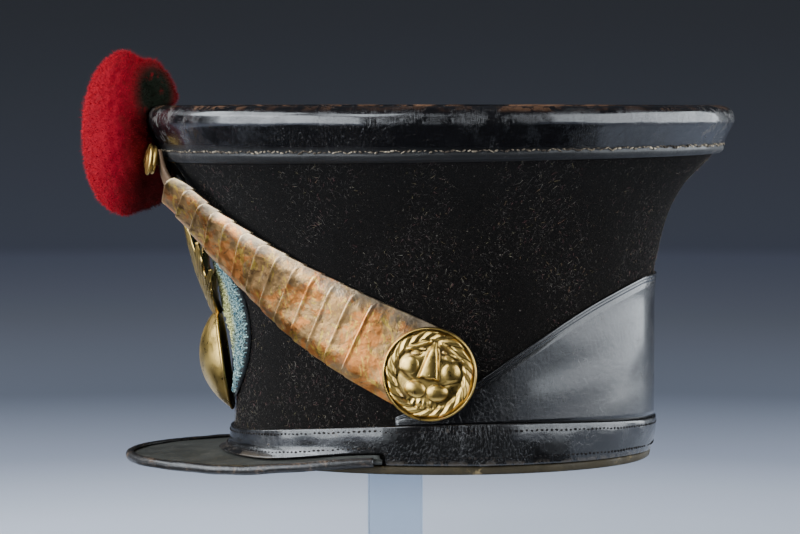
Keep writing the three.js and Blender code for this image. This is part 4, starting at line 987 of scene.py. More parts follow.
def peak_binding(material):
    share = np.linspace(-BINDING_SPAN, BINDING_SPAN, 241)
    _, _, _, outer, outwards, upwards = peak_line(share)
    slot = PEAK_EDGE_THICKNESS / 2 + GAP
    r, wrap = BINDING_RADIUS, BINDING_WRAP
    profile = [(-wrap, slot), (-wrap, r * 0.7), (-wrap * 0.7, r * 0.96), (-r * 0.25, r),
               (r * 0.3, r * 0.82), (r * 0.56, r * 0.42), (r * 0.62, 0.0), (r * 0.56, -r * 0.42),
               (r * 0.3, -r * 0.82), (-r * 0.25, -r), (-wrap * 0.7, -r * 0.96), (-wrap, -r * 0.7),
               (-wrap, -slot), (0.0, -slot), (0.0, slot)]
    sections = np.stack([outer + outwards * (a + GAP) + upwards * u for a, u in profile], 1)
    outside = sections[:, 2:11]
    outside[..., 2] += wobble(outside, 15, 13) * 0.15
    lofted("peak_edge_roll", sections, material, "peak_binding", around=False)


# Top band and crown

def top_band_point(angle, up, out):
    tilt = TOP_BAND_REAR_RISE * np.sin(angle) * (1 - up)
    height = TOP_BAND_LOW + up * TOP_BAND_HEIGHT + tilt
    foot = out_from_felt(angle, np.minimum(height, FELT_TOP), out * TOP_BAND_BULGE)
    foot[..., 2] = height
    return foot


def top_band(material):
    around = angles(420)[:, None]
    inside = -(FELT_WALL + GAP)
    lip_end = CROWN_EDGE_HEIGHT + GAP
    over = FELT_TOP + GAP
    first = top_band_point(around, TOP_BAND_UP[0], SOFT_GAP / TOP_BAND_BULGE)
    columns = [first] + [top_band_point(around, up, out) for up, out in zip(TOP_BAND_UP, TOP_BAND_OUT)]
    columns += [out_from_felt(around, lip_end, inside - RIM_LIP), out_from_felt(around, lip_end, inside)]
    for offset in (inside, SOFT_GAP):
        edge = out_from_felt(around, FELT_TOP, offset)
        edge[..., 2] = over
        columns.append(edge)
    columns.append(out_from_felt(around, PROFILE_HEIGHT[-2] * FELT_TOP, SOFT_GAP))
    steps = 4
    sections = rounded(np.concatenate(columns, 1), steps, tension=0.42)
    outside = sections[:, steps:9 * steps]
    outside[..., 2] += wobble(outside, 60, 17) * 0.3
    outside[..., :2] *= (1 + wobble(outside, 24, 19) * 0.0011)[..., None]
    lofted("top_band_leather", sections, material, "top_band")


def top_band_stitches(material):
    def line(angle):
        return top_band_point(angle, 0.19, 0.53)

    stitch_row("top_band_stitches", line, stitch_angles(139), TOP_STITCH, 0.8, material)


def crown(material):
    around = angles(180)[:, None]
    shares = np.concatenate([[0.02], np.linspace(0.08, 1.0, 30)])[None, :]
    edge = out_from_felt(around, CROWN_EDGE_HEIGHT - CROWN_THICKNESS, -(FELT_WALL + GAP))
    top = edge * shares[..., None]
    top[..., 2] = CROWN_EDGE_HEIGHT - CROWN_DISH * (1 - shares ** 2)
    top[..., 2] += wobble(top, 48, 23) * 0.5 * np.sin(math.pi * shares)
    bottom = top.copy()
    bottom[..., 2] -= CROWN_THICKNESS
    lofted("crown_leather", np.concatenate([top, bottom[:, ::-1]], 1), material, "crown")


# Rear panel

def rear_panel_high(angle):
    folded = np.minimum(angle, math.pi - angle)
    share = smooth_table(np.radians(PANEL_AROUND), PANEL_HEIGHT, folded)
    return np.maximum(bottom_band_high(angle) + GAP + 1, REAR_PANEL_HEIGHT * share)


# Depth of the pressed lines under the panel's upper edge, by distance from that edge
PANEL_LINES = [(0.0, 0.35), (0.35, 0.05), (1.1, 0.0), (1.4, 0.03), (1.7, 0.32), (2.0, 0.03),
               (2.4, 0.0), (2.9, 0.02), (3.2, 0.26), (3.5, 0.02), (6.0, 0.0)]
PANEL_LINES_ROOM = 8.0


def rear_panel(material):
    start = math.radians(PANEL_AROUND[0])
    around = np.linspace(start, math.pi - start, 220)[:, None]
    low = bottom_band_high(around) + GAP
    high = rear_panel_high(around)
    inner = [out_from_felt(around, low + (high - low) * t, GAP) for t in np.linspace(0, 1, 8)]
    outer = []
    for distance, depth in PANEL_LINES:
        last = high - np.minimum(distance, (high - low) * distance / PANEL_LINES_ROOM)
        outer.append(out_from_felt(around, last, GAP + REAR_PANEL_THICKNESS - depth))
    for t in np.linspace(0.08, 1, 20):
        outer.append(out_from_felt(around, last + (low - last) * t, GAP + REAR_PANEL_THICKNESS))
    outside = np.concatenate(outer, 1)
    outside[..., :2] *= (1 + wobble(outside, 30, 29) * 0.0013)[..., None]
    sections = np.concatenate(inner + [outside], 1)
    lofted("rear_panel_leather", sections, material, "rear_panel", around=False)


# Chin straps

def route_point(t):
    """Centripetal Catmull-Rom through the strap's route, with t from 0 to 1."""
    points = np.column_stack([np.radians(STRAP_ROUTE[:, 0]), STRAP_ROUTE[:, 1] * FELT_TOP,
                              STRAP_ROUTE[:, 2] * STRAP_LIFT])
    last = len(points) - 1
    k = min(int(t * last), last - 1)
    w = t * last - k
    p1, p2 = points[k], points[k + 1]
    p0 = points[k - 1] if k > 0 else 2 * points[0] - points[1]
    p3 = points[k + 2] if k + 2 <= last else 2 * points[last] - points[last - 1]
    d0, d1, d2 = (np.linalg.norm(b - a) ** 0.5 for a, b in ((p0, p1), (p1, p2), (p2, p3)))
    m1 = ((p1 - p0) / d0 - (p2 - p0) / (d0 + d1) + (p2 - p1) / d1) * d1
    m2 = ((p2 - p1) / d1 - (p3 - p1) / (d1 + d2) + (p3 - p2) / d2) * d1
    return p1 + m1 * w + (-3 * p1 + 3 * p2 - 2 * m1 - m2) * w**2 + (2 * p1 - 2 * p2 + m1 + m2) * w**3


ROUTE_STEPS = 280
ROUTE_REACH = 1.5
ROUTE = np.array([route_point(i / ROUTE_STEPS) for i in range(ROUTE_STEPS + 1)])
ROUTE_PLACE = off_felt(ROUTE[:, 0], ROUTE[:, 1], ROUTE[:, 2])
ROUTE_TURN = STRAP_END_TURN * smoothstep(np.arange(ROUTE_STEPS + 1) / ROUTE_STEPS, 0.45, 1)
ROUTE_OUT = unit(felt_normal(ROUTE[:, 0], ROUTE[:, 1]) + ROUTE_TURN[:, None] * np.array([[1.0, 0, 0]]))
ROUTE_DISTANCE = np.concatenate([[0], np.cumsum(np.linalg.norm(np.diff(ROUTE_PLACE, axis=0), axis=1))])
ROUTE_DISTANCE -= ROUTE_DISTANCE[ROUTE_STEPS // (len(STRAP_ROUTE) - 1)]
STRAP_END = ROUTE_DISTANCE[-1]


def strap_frame(distance):
    """Place, direction across and direction outwards at distances along the strap."""
    distance = np.asarray(distance, float)

    def on_route(table, where):
        return np.stack([np.interp(where, ROUTE_DISTANCE, table[:, k]) for k in range(3)], -1)

    ahead = on_route(ROUTE_PLACE, distance + ROUTE_REACH)
    along = unit(ahead - on_route(ROUTE_PLACE, distance - ROUTE_REACH))
    out = on_route(ROUTE_OUT, distance)
    out = unit(out - along * (out * along).sum(-1, keepdims=True))
    return on_route(ROUTE_PLACE, distance), np.cross(along, out), out


def strap_half_width(distance):
    share = np.clip((STRAP_END - distance) / (STRAP_END - BOSS_PLATE_REACH), 0, 1.2)
    widening = STRAP_HALF_WIDTH_WIDE - STRAP_HALF_WIDTH_NARROW
    return STRAP_HALF_WIDTH_NARROW + widening * share**STRAP_TAPER_POWER


SCALE_FOOT = STRAP_LEATHER + GAP
SCALE_STEP = SCALE_THICKNESS + GAP
SCALE_PITCH = (STRAP_END - BOSS_PLATE_REACH) / SCALE_COUNT
PLATE_COLUMNS = np.sin(np.linspace(-1, 1, 27) * math.pi / 2)
FREE_END_ROWS = np.concatenate([np.linspace(0, 0.75, 8), [0.82, 0.88, 0.92, 0.945, 0.96, 0.975, 0.99, 1.0]])


def plate_surface(distance, half, full, foot):
    """Rounded cross-sections of a scale at the given distances (rows), as closed loops."""
    place, across, out = strap_frame(distance)
    width = PLATE_COLUMNS[None, :] * half[:, None]
    flat = full[:, None] * SCALE_FLAT_SHARE
    bend = np.clip((np.abs(width) - flat) / (full[:, None] - flat), 0, 1)
    doming = SCALE_DOME * (1 - (width / full[:, None]) ** 2)
    height = foot[:, None] + doming - SCALE_FLANGE_DROP * bend**1.3
    upper = height + SCALE_THICKNESS - SCALE_EDGE_ROUND * np.abs(PLATE_COLUMNS)[None, :] ** 12

    def face(sideways, outwards):
        return place[:, None] + across[:, None] * sideways[..., None] + out[:, None] * outwards[..., None]

    low = face(width, height - SCALE_SUNK)
    return np.concatenate([low, face(width * 0.995, upper)[:, ::-1]], 1)


def both_sides(name, sections, material, node, around=False):
    """The piece and its mirror image: left and right end its name and stand for side in the node's."""
    made = []
    for side, sign in (("left", 1), ("right", -1)):
        mirrored = sections * np.array([sign, 1, 1])
        made.append(lofted(f"{name}_{side}", mirrored, material, node.replace("side", side), around))
    return made


def plate_edge_light_and_wear(plates, free_edge_rows):
    # Attributes for the scale material: `upper`, the place across the strap, near whose upper edge a grey
    # reflection is painted, and `worn`, a pale line along the free and side edges that is partly rubbed metal
    # and partly a painted highlight.
    upper = np.tile(np.concatenate([PLATE_COLUMNS, PLATE_COLUMNS[::-1]]), (len(free_edge_rows), 1))
    edge = np.clip((np.abs(upper) - 0.965) / 0.03, 0, 1) * 0.6
    worn = np.maximum(edge, np.asarray(free_edge_rows)[:, None])
    for obj in plates:
        set_values(obj, "upper", upper)
        set_values(obj, "worn", worn)


def scale(index, material):
    free_end = BOSS_PLATE_REACH + SCALE_PITCH * index
    root = free_end - SCALE_PITCH - SCALE_OVERLAP
    next_root = free_end - SCALE_OVERLAP
    shares = FREE_END_ROWS
    distance = np.minimum(root + (free_end - root) * shares, STRAP_END)
    full = strap_half_width(distance)
    corner = np.clip((distance - (free_end - SCALE_CHAMFER)) / SCALE_CHAMFER, 0, 1)
    half = full - SCALE_CHAMFER * corner**1.5
    foot = SCALE_FOOT + SCALE_STEP * (distance - root) / (next_root - root)
    foot = foot + SCALE_LIP * smoothstep(shares, 0.84, 0.95) - SCALE_LIP_DROP * (shares > 0.995)
    sections = plate_surface(distance, half, full, foot)
    name, node = f"chin_scale_{index:02d}", f"scale_side_{index:02d}"
    plates = both_sides(name, sections, material, node)
    plate_edge_light_and_wear(plates, smoothstep(shares, 0.955, 0.975))


def boss_plate(material):
    turns = np.radians([86, 78, 68, 57, 45, 33, 22, 11])
    full_width = min(float(strap_half_width(0.0)), BOSS_PLATE_RADIUS)
    round_end = -BOSS_PLATE_RADIUS * np.sin(turns)
    round_half = np.minimum(full_width, BOSS_PLATE_RADIUS * np.cos(turns))
    next_root = BOSS_PLATE_REACH - SCALE_OVERLAP
    free_rows = BOSS_PLATE_REACH - SCALE_CHAMFER * np.array([1, 0.8, 0.6, 0.4, 0.25, 0.15, 0.07, 0.0])
    straight = np.concatenate([np.linspace(0, next_root, 12), free_rows])
    corner = np.clip((straight - (BOSS_PLATE_REACH - SCALE_CHAMFER)) / SCALE_CHAMFER, 0, 1)
    straight_half = np.minimum(full_width, strap_half_width(straight)) - SCALE_CHAMFER * corner**1.5
    distance = np.concatenate([round_end, straight])
    half = np.concatenate([round_half, straight_half])
    full = np.minimum(full_width, strap_half_width(distance))
    past = np.maximum(distance - BOSS_PLATE_RADIUS, 0) / (next_root - BOSS_PLATE_RADIUS)
    lip = SCALE_LIP * smoothstep(distance, BOSS_PLATE_REACH - 2.2, BOSS_PLATE_REACH - 0.7)
    lip = lip - SCALE_LIP_DROP * (distance > BOSS_PLATE_REACH - 0.05)
    sections = plate_surface(distance, half, full, SCALE_FOOT + SCALE_STEP * past + lip)
    plates = both_sides("boss_plate_copper", sections, material, "boss_plate_side")
    plate_edge_light_and_wear(plates, smoothstep(distance, BOSS_PLATE_REACH - 0.65, BOSS_PLATE_REACH - 0.4))


def strap_leather(material):
    first, last = -BOSS_PLATE_RADIUS * 0.6, STRAP_END - SCALE_OVERLAP
    distance = np.linspace(first, last, 60)
    place, across, out = strap_frame(distance)
    half = strap_half_width(distance) * STRAP_LEATHER_SHARE
    end = BUTTON_PLACE - BUTTON * (STRAP_LEATHER + GAP) + BUTTON_UP * BUTTON_DIAMETER * 0.35
    share = np.linspace(0.08, 1, 20)[:, None]
    tab_place = place[-1] * (1 - share) + end * share + out[-1] * np.sin(math.pi * share) * STRAP_LEATHER
    tab_out = unit(out[-1] * (1 - share) + BUTTON * share)
    tab_across = unit(across[-1] * (1 - share) + BUTTON_SIDEWAYS * share)
    tab_half = half[-1] * (1 - share[:, 0]) + TAB_HALF_WIDTH * share[:, 0]
    place = np.concatenate([place, tab_place])
    across = np.concatenate([across, tab_across])
    out = np.concatenate([out, tab_out])
    half = np.concatenate([half, tab_half])
    side, bevel = 0.95, 0.3
    profile = [(-1, bevel), (-side, 0.0), (side, 0.0), (1, bevel), (1, STRAP_LEATHER - bevel),
               (side, STRAP_LEATHER), (-side, STRAP_LEATHER), (-1, STRAP_LEATHER - bevel)]
    sections = np.stack([place + across * (half * a)[:, None] + out * u for a, u in profile], 1)
    both_sides("chin_strap_leather", sections, material, "strap_leather_side")


BUTTON = BUTTON_AXIS / np.linalg.norm(BUTTON_AXIS)
BUTTON_SIDEWAYS = unit(np.cross(np.array([0, 0, 1.0]), BUTTON))
BUTTON_UP = np.cross(BUTTON, BUTTON_SIDEWAYS)


def lathed(outline, sides, place, axis):
    """Rings of a turned body: rows go round it, columns along its outline [(radius, along)]."""
    axis = unit(np.asarray(axis, float))
    helper = np.array([1.0, 0, 0]) if abs(axis[0]) < 0.9 else np.array([0, 1.0, 0])
    u = unit(np.cross(axis, helper))
    v = np.cross(axis, u)
    turn = angles(sides)[:, None]
    radius = np.array([max(r, 0.01) for r, _ in outline])[None, :]
    along = np.array([a for _, a in outline])[None, :]
    ring = radius[..., None] * (np.cos(turn)[..., None] * u + np.sin(turn)[..., None] * v)
    return np.asarray(place) + ring + along[..., None] * axis


# Button outline: radius as a share of the button's, height as a share of its depth
BUTTON_OUTLINE = [(0.84, 0.0), (0.9, 0.08), (0.9, 0.26), (0.84, 0.33), (0.83, 0.4), (0.95, 0.45), (1.0, 0.52),
                  (1.0, 0.62), (0.94, 0.7), (0.72, 0.78), (0.62, 0.8), (0.56, 0.88), (0.3, 0.98), (0.0, 1.0)]
BUTTON_SHANK = [(0, -5.5), (2.2, -5.5), (2.2, -0.05)]


def strap_button(material):
    outline = [(radius * BUTTON_DIAMETER / 2, up * BUTTON_DEPTH) for radius, up in BUTTON_OUTLINE]
    sections = lathed(BUTTON_SHANK + outline, 48, BUTTON_PLACE, BUTTON)
    both_sides("button_brass", sections, material, "strap_button_side", around=True)


# Boss with a lion's face in a wreath of locks

BOSS_FACE_TILT = math.radians(11)
WREATH_LEAVES = 19
WREATH_MIDDLE = 0.80
WREATH_SLANT = 34.0

# The lion's features, each mirrored: heights in mm, places and sizes in shares of the boss's
# radius, turns in degrees
HILLS = [
    {"part": "muzzle", "high": 0.3, "at": (0.235, -0.36), "size": (0.2, 0.16), "turn": 8, "power": 2.6},
    {"part": "nostril", "high": -1.1, "at": (0.105, -0.085), "size": (0.05, 0.03), "turn": 0, "power": 2},
    {"part": "eye hollow", "high": -1.3, "at": (0.34, 0.43), "size": (0.15, 0.085), "turn": -14, "power": 2},
    {"part": "furrow", "high": -0.5, "at": (0.06, 0.6), "size": (0.022, 0.11), "turn": 8, "power": 2},
    {"part": "crease", "high": -0.7, "at": (0.44, -0.13), "size": (0.22, 0.04), "turn": 24, "power": 2},
    {"part": "chin", "high": 1.3, "at": (0.0, -0.62), "size": (0.2, 0.1), "turn": 0, "power": 3},
]
BALLS = [
    {"part": "muzzle", "high": 1.5, "at": (0.235, -0.36), "size": (0.225, 0.18), "turn": 8},
    {"part": "eye", "high": 1.3, "at": (0.35, 0.40), "size": (0.11, 0.055), "turn": -12},
]
RIDGES = [
    {"part": "lid", "high": 1.0, "start": (0.22, 0.50), "end": (0.48, 0.45), "width": 0.03},
    {"part": "brow", "high": 1.5, "start": (0.14, 0.68), "end": (0.56, 0.45), "width": 0.05},
]


def local(x, y, at, size, turn):
    """Coordinates from a feature's middle, along its own directions, in shares of its size."""
    c, s = math.cos(math.radians(turn)), math.sin(math.radians(turn))
    dx, dy = x - at[0], y - at[1]
    return (dx * c + dy * s) / size[0], (dy * c - dx * s) / size[1]


def hill(x, y, at, size, turn=0, power=2):
    """A rounded hill of height 1."""
    u, v = local(x, y, at, size, turn)
    return np.exp(-(u * u + v * v) ** (power / 2))


def ball(x, y, at, size, turn=0):
    """A round hill with a clear foot, of height 1."""
    u, v = local(x, y, at, size, turn)
    return np.sqrt(np.clip(1 - u * u - v * v, 0, 1))


def ridge(x, y, start, end, width):
    """A rounded ridge of height 1 along a straight line."""
    (ax, ay), (bx, by) = start, end
    length = math.hypot(bx - ax, by - ay)
    along = np.clip(((x - ax) * (bx - ax) + (y - ay) * (by - ay)) / length**2, 0, 1)
    return np.exp(-((x - ax - along * (bx - ax)) ** 2 + (y - ay - along * (by - ay)) ** 2) / width**2)


def boss_relief(x, y):
    """Height in mm over the disc; x and y are shares of its radius, x towards the viewer's right."""
    radius = np.hypot(x, y)
    turn = np.arctan2(y, x)
    c, s = math.cos(BOSS_FACE_TILT), math.sin(BOSS_FACE_TILT)
    u, v = x * c - y * s, x * s + y * c
    mirror = np.abs(u)
    field = 0.8 + 0.7 * (1 - radius**2)
    face = 1.1 * np.exp(-((u / 0.58) ** 2 + (v / 0.68) ** 2) ** 3)
    cheek = 0.5 * ball(mirror, v, (0.44, 0.12), (0.19, 0.19))
    cheek = cheek + 0.8 * hill(mirror, v, (0.44, 0.11), (0.2, 0.23), 0, 2.6)
    nose_half = 0.235 - 0.21 * (v + 0.08)
    nose = (1 - smoothstep(mirror, nose_half - 0.06, nose_half + 0.02)) * (1 - 0.3 * (u / nose_half) ** 2)
    nose = nose * smoothstep(v, -0.13, -0.06) * (1 - smoothstep(v, 0.5, 0.72))
    nose = nose * (2.9 - 2.0 * np.clip(v, 0, 0.6))
    tuft = 0.4 * np.cos(u * 52 + np.sign(u) * v * 9) * hill(mirror, v, (0.1, -0.68), (0.26, 0.1))
    features = np.maximum(cheek, nose) + tuft
    for row in HILLS:
        features = features + row["high"] * hill(mirror, v, row["at"], row["size"], row["turn"], row["power"])
    for row in BALLS:
        features = features + row["high"] * ball(mirror, v, row["at"], row["size"], row["turn"])
    for row in RIDGES:
        features = features + row["high"] * ridge(mirror, v, row["start"], row["end"], row["width"])
    inside = 1 - smoothstep(radius, 0.70, 0.78)
    band = np.exp(-(((radius - WREATH_MIDDLE) / (0.118 + 0.02 * np.sin(9 * turn))) ** 6))
    phase = turn * WREATH_LEAVES + (radius - WREATH_MIDDLE) * WREATH_SLANT + 0.7 * np.sin(4 * turn)
    leaf = np.abs(np.cos(phase / 2))
    vein = np.abs(np.cos(phase * 1.5))
    wreath = band * (0.45 + 0.95 * leaf + 0.3 * vein)
    rim = 1.5 * smoothstep(radius, 0.945, 0.962) * (1 - smoothstep(radius, 0.98, 1.0) * 0.5)
    return field + (face + features) * inside + wreath * (1 - 0.8 * inside) + rim


def boss_depth(height):
    """How far each point lies below its surroundings, from 0 to 1, where the brass gets painted shade."""
    return np.clip((blurred(height, 14) - height) * 2.2 + 0.12, 0, 1)


def boss(material):
    place, _, out = strap_frame(0.0)
    radius = BOSS_DIAMETER / 2
    place = place + out * (SCALE_FOOT + SCALE_STEP + GAP)
    up = unit(np.array([0, 0, 1.0]) - out * out[2])
    right = np.cross(up, out)
    shares = np.concatenate([[0.004], np.linspace(0.02, 0.93, 74), np.linspace(0.94, 1.0, 12)])
    turn = angles(260)[:, None]
    x, y = shares * np.cos(turn), shares * np.sin(turn)
    height = boss_relief(x, y)
    flat = place + right * (x * radius)[..., None] + up * (y * radius)[..., None]
    top = flat + out * height[..., None]
    sections = np.concatenate([top, flat[:, ::-8]], 1)
    rim_and_back = np.ones((len(turn), sections.shape[1] - len(shares)))
    recess_shade = np.concatenate([boss_depth(height), rim_and_back], 1)
    for obj in both_sides("lion_boss", sections, material, "boss_side", around=True):
        set_values(obj, "recess_shade", recess_shade)


# Cockade and grenade badge

def cockade_point(share, turn, distance):
    share, turn, distance = np.broadcast_arrays(share, turn, distance)
    radius = COCKADE_DIAMETER / 2 * share
    height = COCKADE_HEIGHT + radius * np.sin(turn)
    sideways = felt_point(0.0, height)[..., 0]
    angle = -math.pi / 2 + radius * np.cos(turn) / sideways
    return out_from_felt(angle, height, distance)


COCKADE_LOOPS = 2300
COCKADE_FRONT_SHARE = 0.985
COCKADE_BACKING = COCKADE_THICKNESS * 0.75
LOOP_FOOT = COCKADE_THICKNESS * 0.62


def cockade(material, loop_material):
    turn = angles(140)[:, None]
    shares = np.linspace(0.02, 1, 24)[None, :]
    back = cockade_point(shares, turn, SOFT_GAP)
    front = cockade_point(shares * COCKADE_FRONT_SHARE, turn, SOFT_GAP + COCKADE_BACKING)
    under_ball = np.linalg.norm(front - BALL_PLACE, axis=-1) < BALL_DIAMETER / 2 + 1.5
    sunk = cockade_point(shares * COCKADE_FRONT_SHARE, turn, SOFT_GAP + 0.5)
    front = np.where(under_ball[..., None], sunk, front)
    lofted("cockade_backing", np.concatenate([front, back[:, ::-1]], 1), material, "cockade")

    rng = np.random.default_rng(31)
    golden_angle = math.pi * (3 - math.sqrt(5))
    index = np.arange(COCKADE_LOOPS)
    share = np.sqrt((index + 0.5) / COCKADE_LOOPS)
    spin = index * golden_angle
    centre = cockade_point(share, spin, SOFT_GAP + COCKADE_THICKNESS * 0.7)
    keep = np.linalg.norm(centre - BALL_PLACE, axis=-1) > BALL_DIAMETER / 2 + 0.5
    share, spin = share[keep], spin[keep]
    centre = cockade_point(share, spin, SOFT_GAP + LOOP_FOOT)
    normal = unit(cockade_point(share, spin, SOFT_GAP + LOOP_FOOT + 1.0) - centre)
    tangent = unit(np.cross(normal, rng.normal(size=normal.shape)))
    loops(centre, tangent, normal, rng, loop_material)


def loops(centre, tangent, normal, rng, material):
    """Small standing loops of wool: each a bent tube with four-sided sections."""
    steps, sides = 6, 4
    count = len(centre)
    half = rng.uniform(0.7, 1.15, count)[:, None]
    height = rng.uniform(0.9, 1.7, count)[:, None]
    thick = rng.uniform(0.32, 0.46, count)[:, None]
    across = np.cross(normal, tangent)
    rings = []
    for i in range(steps):
        bend = math.pi * i / (steps - 1)
        middle = centre + tangent * (half * -math.cos(bend)) + normal * (height * math.sin(bend))
        spread = unit(tangent * -math.cos(bend) + normal * (math.sin(bend) + 0.2))
        for k in range(sides):
            turn = TAU * (k + 0.5) / sides
            rings.append(middle + spread * (thick * math.cos(turn)) + across * (thick * math.sin(turn)))
    points = np.stack(rings, 1)
    faces = []
    for i in range(steps - 1):
        for k in range(sides):
            k2 = (k + 1) % sides
            faces.append([i * sides + k, i * sides + k2, (i + 1) * sides + k2, (i + 1) * sides + k])
    faces.append([0, 1, 2, 3])
    faces.append([(steps - 1) * sides + k for k in (3, 2, 1, 0)])
    quads = repeated(faces, points.shape[1], count)
    set_outwards(add_mesh("cockade_loops", points.reshape(-1, 3), quads, material))


BALL_AXIS = np.array([0.0, -math.cos(math.radians(BALL_TILT)), -math.sin(math.radians(BALL_TILT))])
BALL_CHORD = BALL_DIAMETER / 2
BALL_CURVE = (BALL_CHORD**2 + BALL_DEPTH**2) / (2 * BALL_DEPTH)


def ball_arc(curve, steps=28):
    rim = math.asin(BALL_CHORD / BALL_CURVE)
    tilt = rim * (1 - np.arange(steps + 1) / steps)
    return [(curve * math.sin(t), curve * math.cos(t) - (BALL_CURVE - BALL_DEPTH)) for t in tilt]


def badge_ball(material):
    outside = ball_arc(BALL_CURVE)
    inside = ball_arc(BALL_CURVE - BALL_WALL)[::-1]
    lip = [(BALL_CHORD + 0.1, -0.1), (BALL_CHORD + 0.35, 0.3), (BALL_CHORD + 0.2, 0.9)]
    sections = lathed(inside + lip + outside[1:], 120, BALL_PLACE, BALL_AXIS)
    sections = sections + (wobble(sections, 26, 37) * 0.2)[..., None] * BALL_AXIS
    recess_shade = np.zeros(sections.shape[:2])
    # Painted shade: the hollow inside of the ball is darkened.
    recess_shade[:, : len(inside)] = 0.8
    set_values(lofted("grenade_ball", sections, material, "grenade_badge"), "recess_shade", recess_shade)


FLAME_SHARE = np.linspace(0, 1, 40)[:, None]
FLAME_ACROSS = np.linspace(-1, 1, 17)[None, :]


def flame_barbs():
    """Phase of the barbs that fan out from a flame's spine."""
    return np.abs(FLAME_ACROSS) * 17.0 - FLAME_SHARE * 26.0


def flame_sections(row, side):
    share, s = FLAME_SHARE, FLAME_ACROSS
    lean, tilt = math.radians(FLAME_LEAN), math.radians(BALL_TILT)
    base = BALL_PLACE + np.array([0, 0, 1.0]) * (BALL_CHORD * math.cos(tilt) - 3)
    base = base - np.array([0, BALL_CHORD * math.sin(tilt) - 0.7, 0])
    up = np.array([0, -math.sin(lean), math.cos(lean)])
    front = np.array([0, -math.cos(lean), -math.sin(lean)])
    swell = np.sin(math.pi * (0.16 + 0.76 * share)) * (1 - 0.15 * share)
    half = np.maximum(FLAME_LENGTH * row["width"] * FLAME_SPREAD * swell / 2 * (1 - share**10), 0.35)
    barbs = 1 + 0.10 * np.sin(share * 34 + np.abs(s) * 2.0) * np.abs(s) ** 3
    across = s * half * barbs
    sideways = side * FLAME_LENGTH * (row["root"] + (row["tip"] - row["root"]) * share**1.4) + across
    sideways = sideways + 0.9 * np.sin(share * 5.5 + 1.3 * side * (row["root"] > 0)) * share
    ridge = (1 - np.abs(s)) ** 0.8 * FLAME_THICKNESS * (1 - 0.6 * share**4)
    feather = 0.30 * np.sin(flame_barbs()) * (np.abs(s) > 0.08) * (1 - np.abs(s)) ** 0.35
    bend = sideways**2 / (2 * FLAME_BEND_RADIUS)
    spine = base + up * (FLAME_LENGTH * row["top"] * share)[..., None]
    curl = 1.2 * np.sin(share * math.pi * 1.2)

    def surface(depth):
        points = spine + front * (depth - bend + curl)[..., None]
        points = np.broadcast_to(points, (*np.broadcast_shapes(share.shape, s.shape), 3)).copy()
        points[..., 0] = np.broadcast_to(sideways, points.shape[:2])
        return points

    top = surface(ridge + feather + 0.25)
    bottom = surface(-0.45 * FLAME_THICKNESS * (1 - np.abs(s)) - 0.1)
    return np.concatenate([top, bottom[:, ::-1]], 1)


def badge_flames(material):
    groove = 0.5 - 0.5 * np.sin(flame_barbs())
    # Painted shade: darkens the grooves between the barbs and the whole underside of each flame.
    recess_shade = np.concatenate([groove * 0.8, np.full(groove.shape, 0.7)], 1)
    rows = [(row, side) for row in FLAMES for side in ((1,) if row["root"] == 0 else (1, -1))]
    for number, (row, side) in enumerate(rows):
        sections = flame_sections(row, side)
        flame = lofted(f"grenade_flame_{number}", sections, material, around=False)
        set_values(flame, "recess_shade", recess_shade)


def grenade_badge(material):
    badge_ball(material)
    badge_flames(material)


# Pompom

POMPOM_CENTRE = np.array([0.0, -156.0, 168.0])
POMPOM_FILLET = 3.5
CLUMP_SUNK = 0.6
CLUMP_MOST = 0.8


def lobe_share(points, lobe):
    """Below 1 inside the lobe, which is an ellipsoid."""
    x = points[..., 0] / lobe["wide"]
    y = (points[..., 1] + lobe["reach"]) / lobe["deep"]
    z = (points[..., 2] - lobe["height"]) / lobe["tall"]
    return x * x + y * y + z * z


def inside_pompom(points):
    return np.minimum(lobe_share(points, FRONT_LOBE), lobe_share(points, REAR_LOBE)) < 1.0


def inside_hat(points):
    """True inside the top band and felt, with a little room round them."""
    z = points[..., 2]
    angle = np.arctan2(points[..., 1] / BASE_FRONT, points[..., 0] / BASE_HALF_WIDTH)
    height = np.clip(z, 20.0, FELT_TOP)
    low = TOP_BAND_LOW - TOP_BAND_REAR_RISE
    share = np.clip((z - low) / TOP_BAND_HEIGHT, 0, 1)
    bulge = np.interp(share, TOP_BAND_UP[:-1], TOP_BAND_OUT[:-1]) * TOP_BAND_BULGE
    stand_out = np.where(z < low - SOFT_GAP, SOFT_GAP, bulge + SOFT_GAP)
    beyond = felt_point(angle, height)[..., 1] - points[..., 1] - stand_out
    return (beyond < 0) & (z < low + TOP_BAND_HEIGHT + SOFT_GAP)


def pompom_radius(direction):
    """Distance from the pompom's centre to its surface, and to the hat, along each direction."""
    reach, room = np.zeros(direction.shape[:-1]), np.zeros(direction.shape[:-1])
    inside, clear = np.ones((2, *direction.shape[:-1]), bool)
    for step in np.arange(1.0, 74.0, 0.35):
        points = POMPOM_CENTRE + direction * step
        clear &= ~inside_hat(points)
        inside &= clear & inside_pompom(points)
        reach = np.where(inside, step, reach)
        room = np.where(clear, step, room)
    return reach, room


def pompom(material):
    rows = 150
    tilt = ((np.arange(rows) + 0.5) / rows - 0.5) * math.pi
    tilt, turn = np.meshgrid(tilt, angles(180))
    direction = np.stack([np.cos(tilt) * np.cos(turn), np.cos(tilt) * np.sin(turn), np.sin(tilt)], -1)
    reach, room = pompom_radius(direction)
    smooth = np.minimum(np.minimum(blurred(reach, 26), reach + POMPOM_FILLET), room)
    points = POMPOM_CENTRE + direction * smooth[..., None]
    clumps = wobble(points, 17, 41) * 0.7 + wobble(points, 7, 43) * 0.4 + wobble(points, 3, 47) * 0.25
    clumps = np.minimum(clumps - CLUMP_SUNK, CLUMP_MOST)
    points = points + direction * clumps[..., None]
    lofted("pompom_core", points, material, "pompom", around=True, across=False)
    pompom_wool(points, direction, material)


# Wool: how many strands, how far their roots scatter and how much they lean
POMPOM_WOOL = 49000
WOOL_SCATTER = 0.45
WOOL_LEAN = 0.8


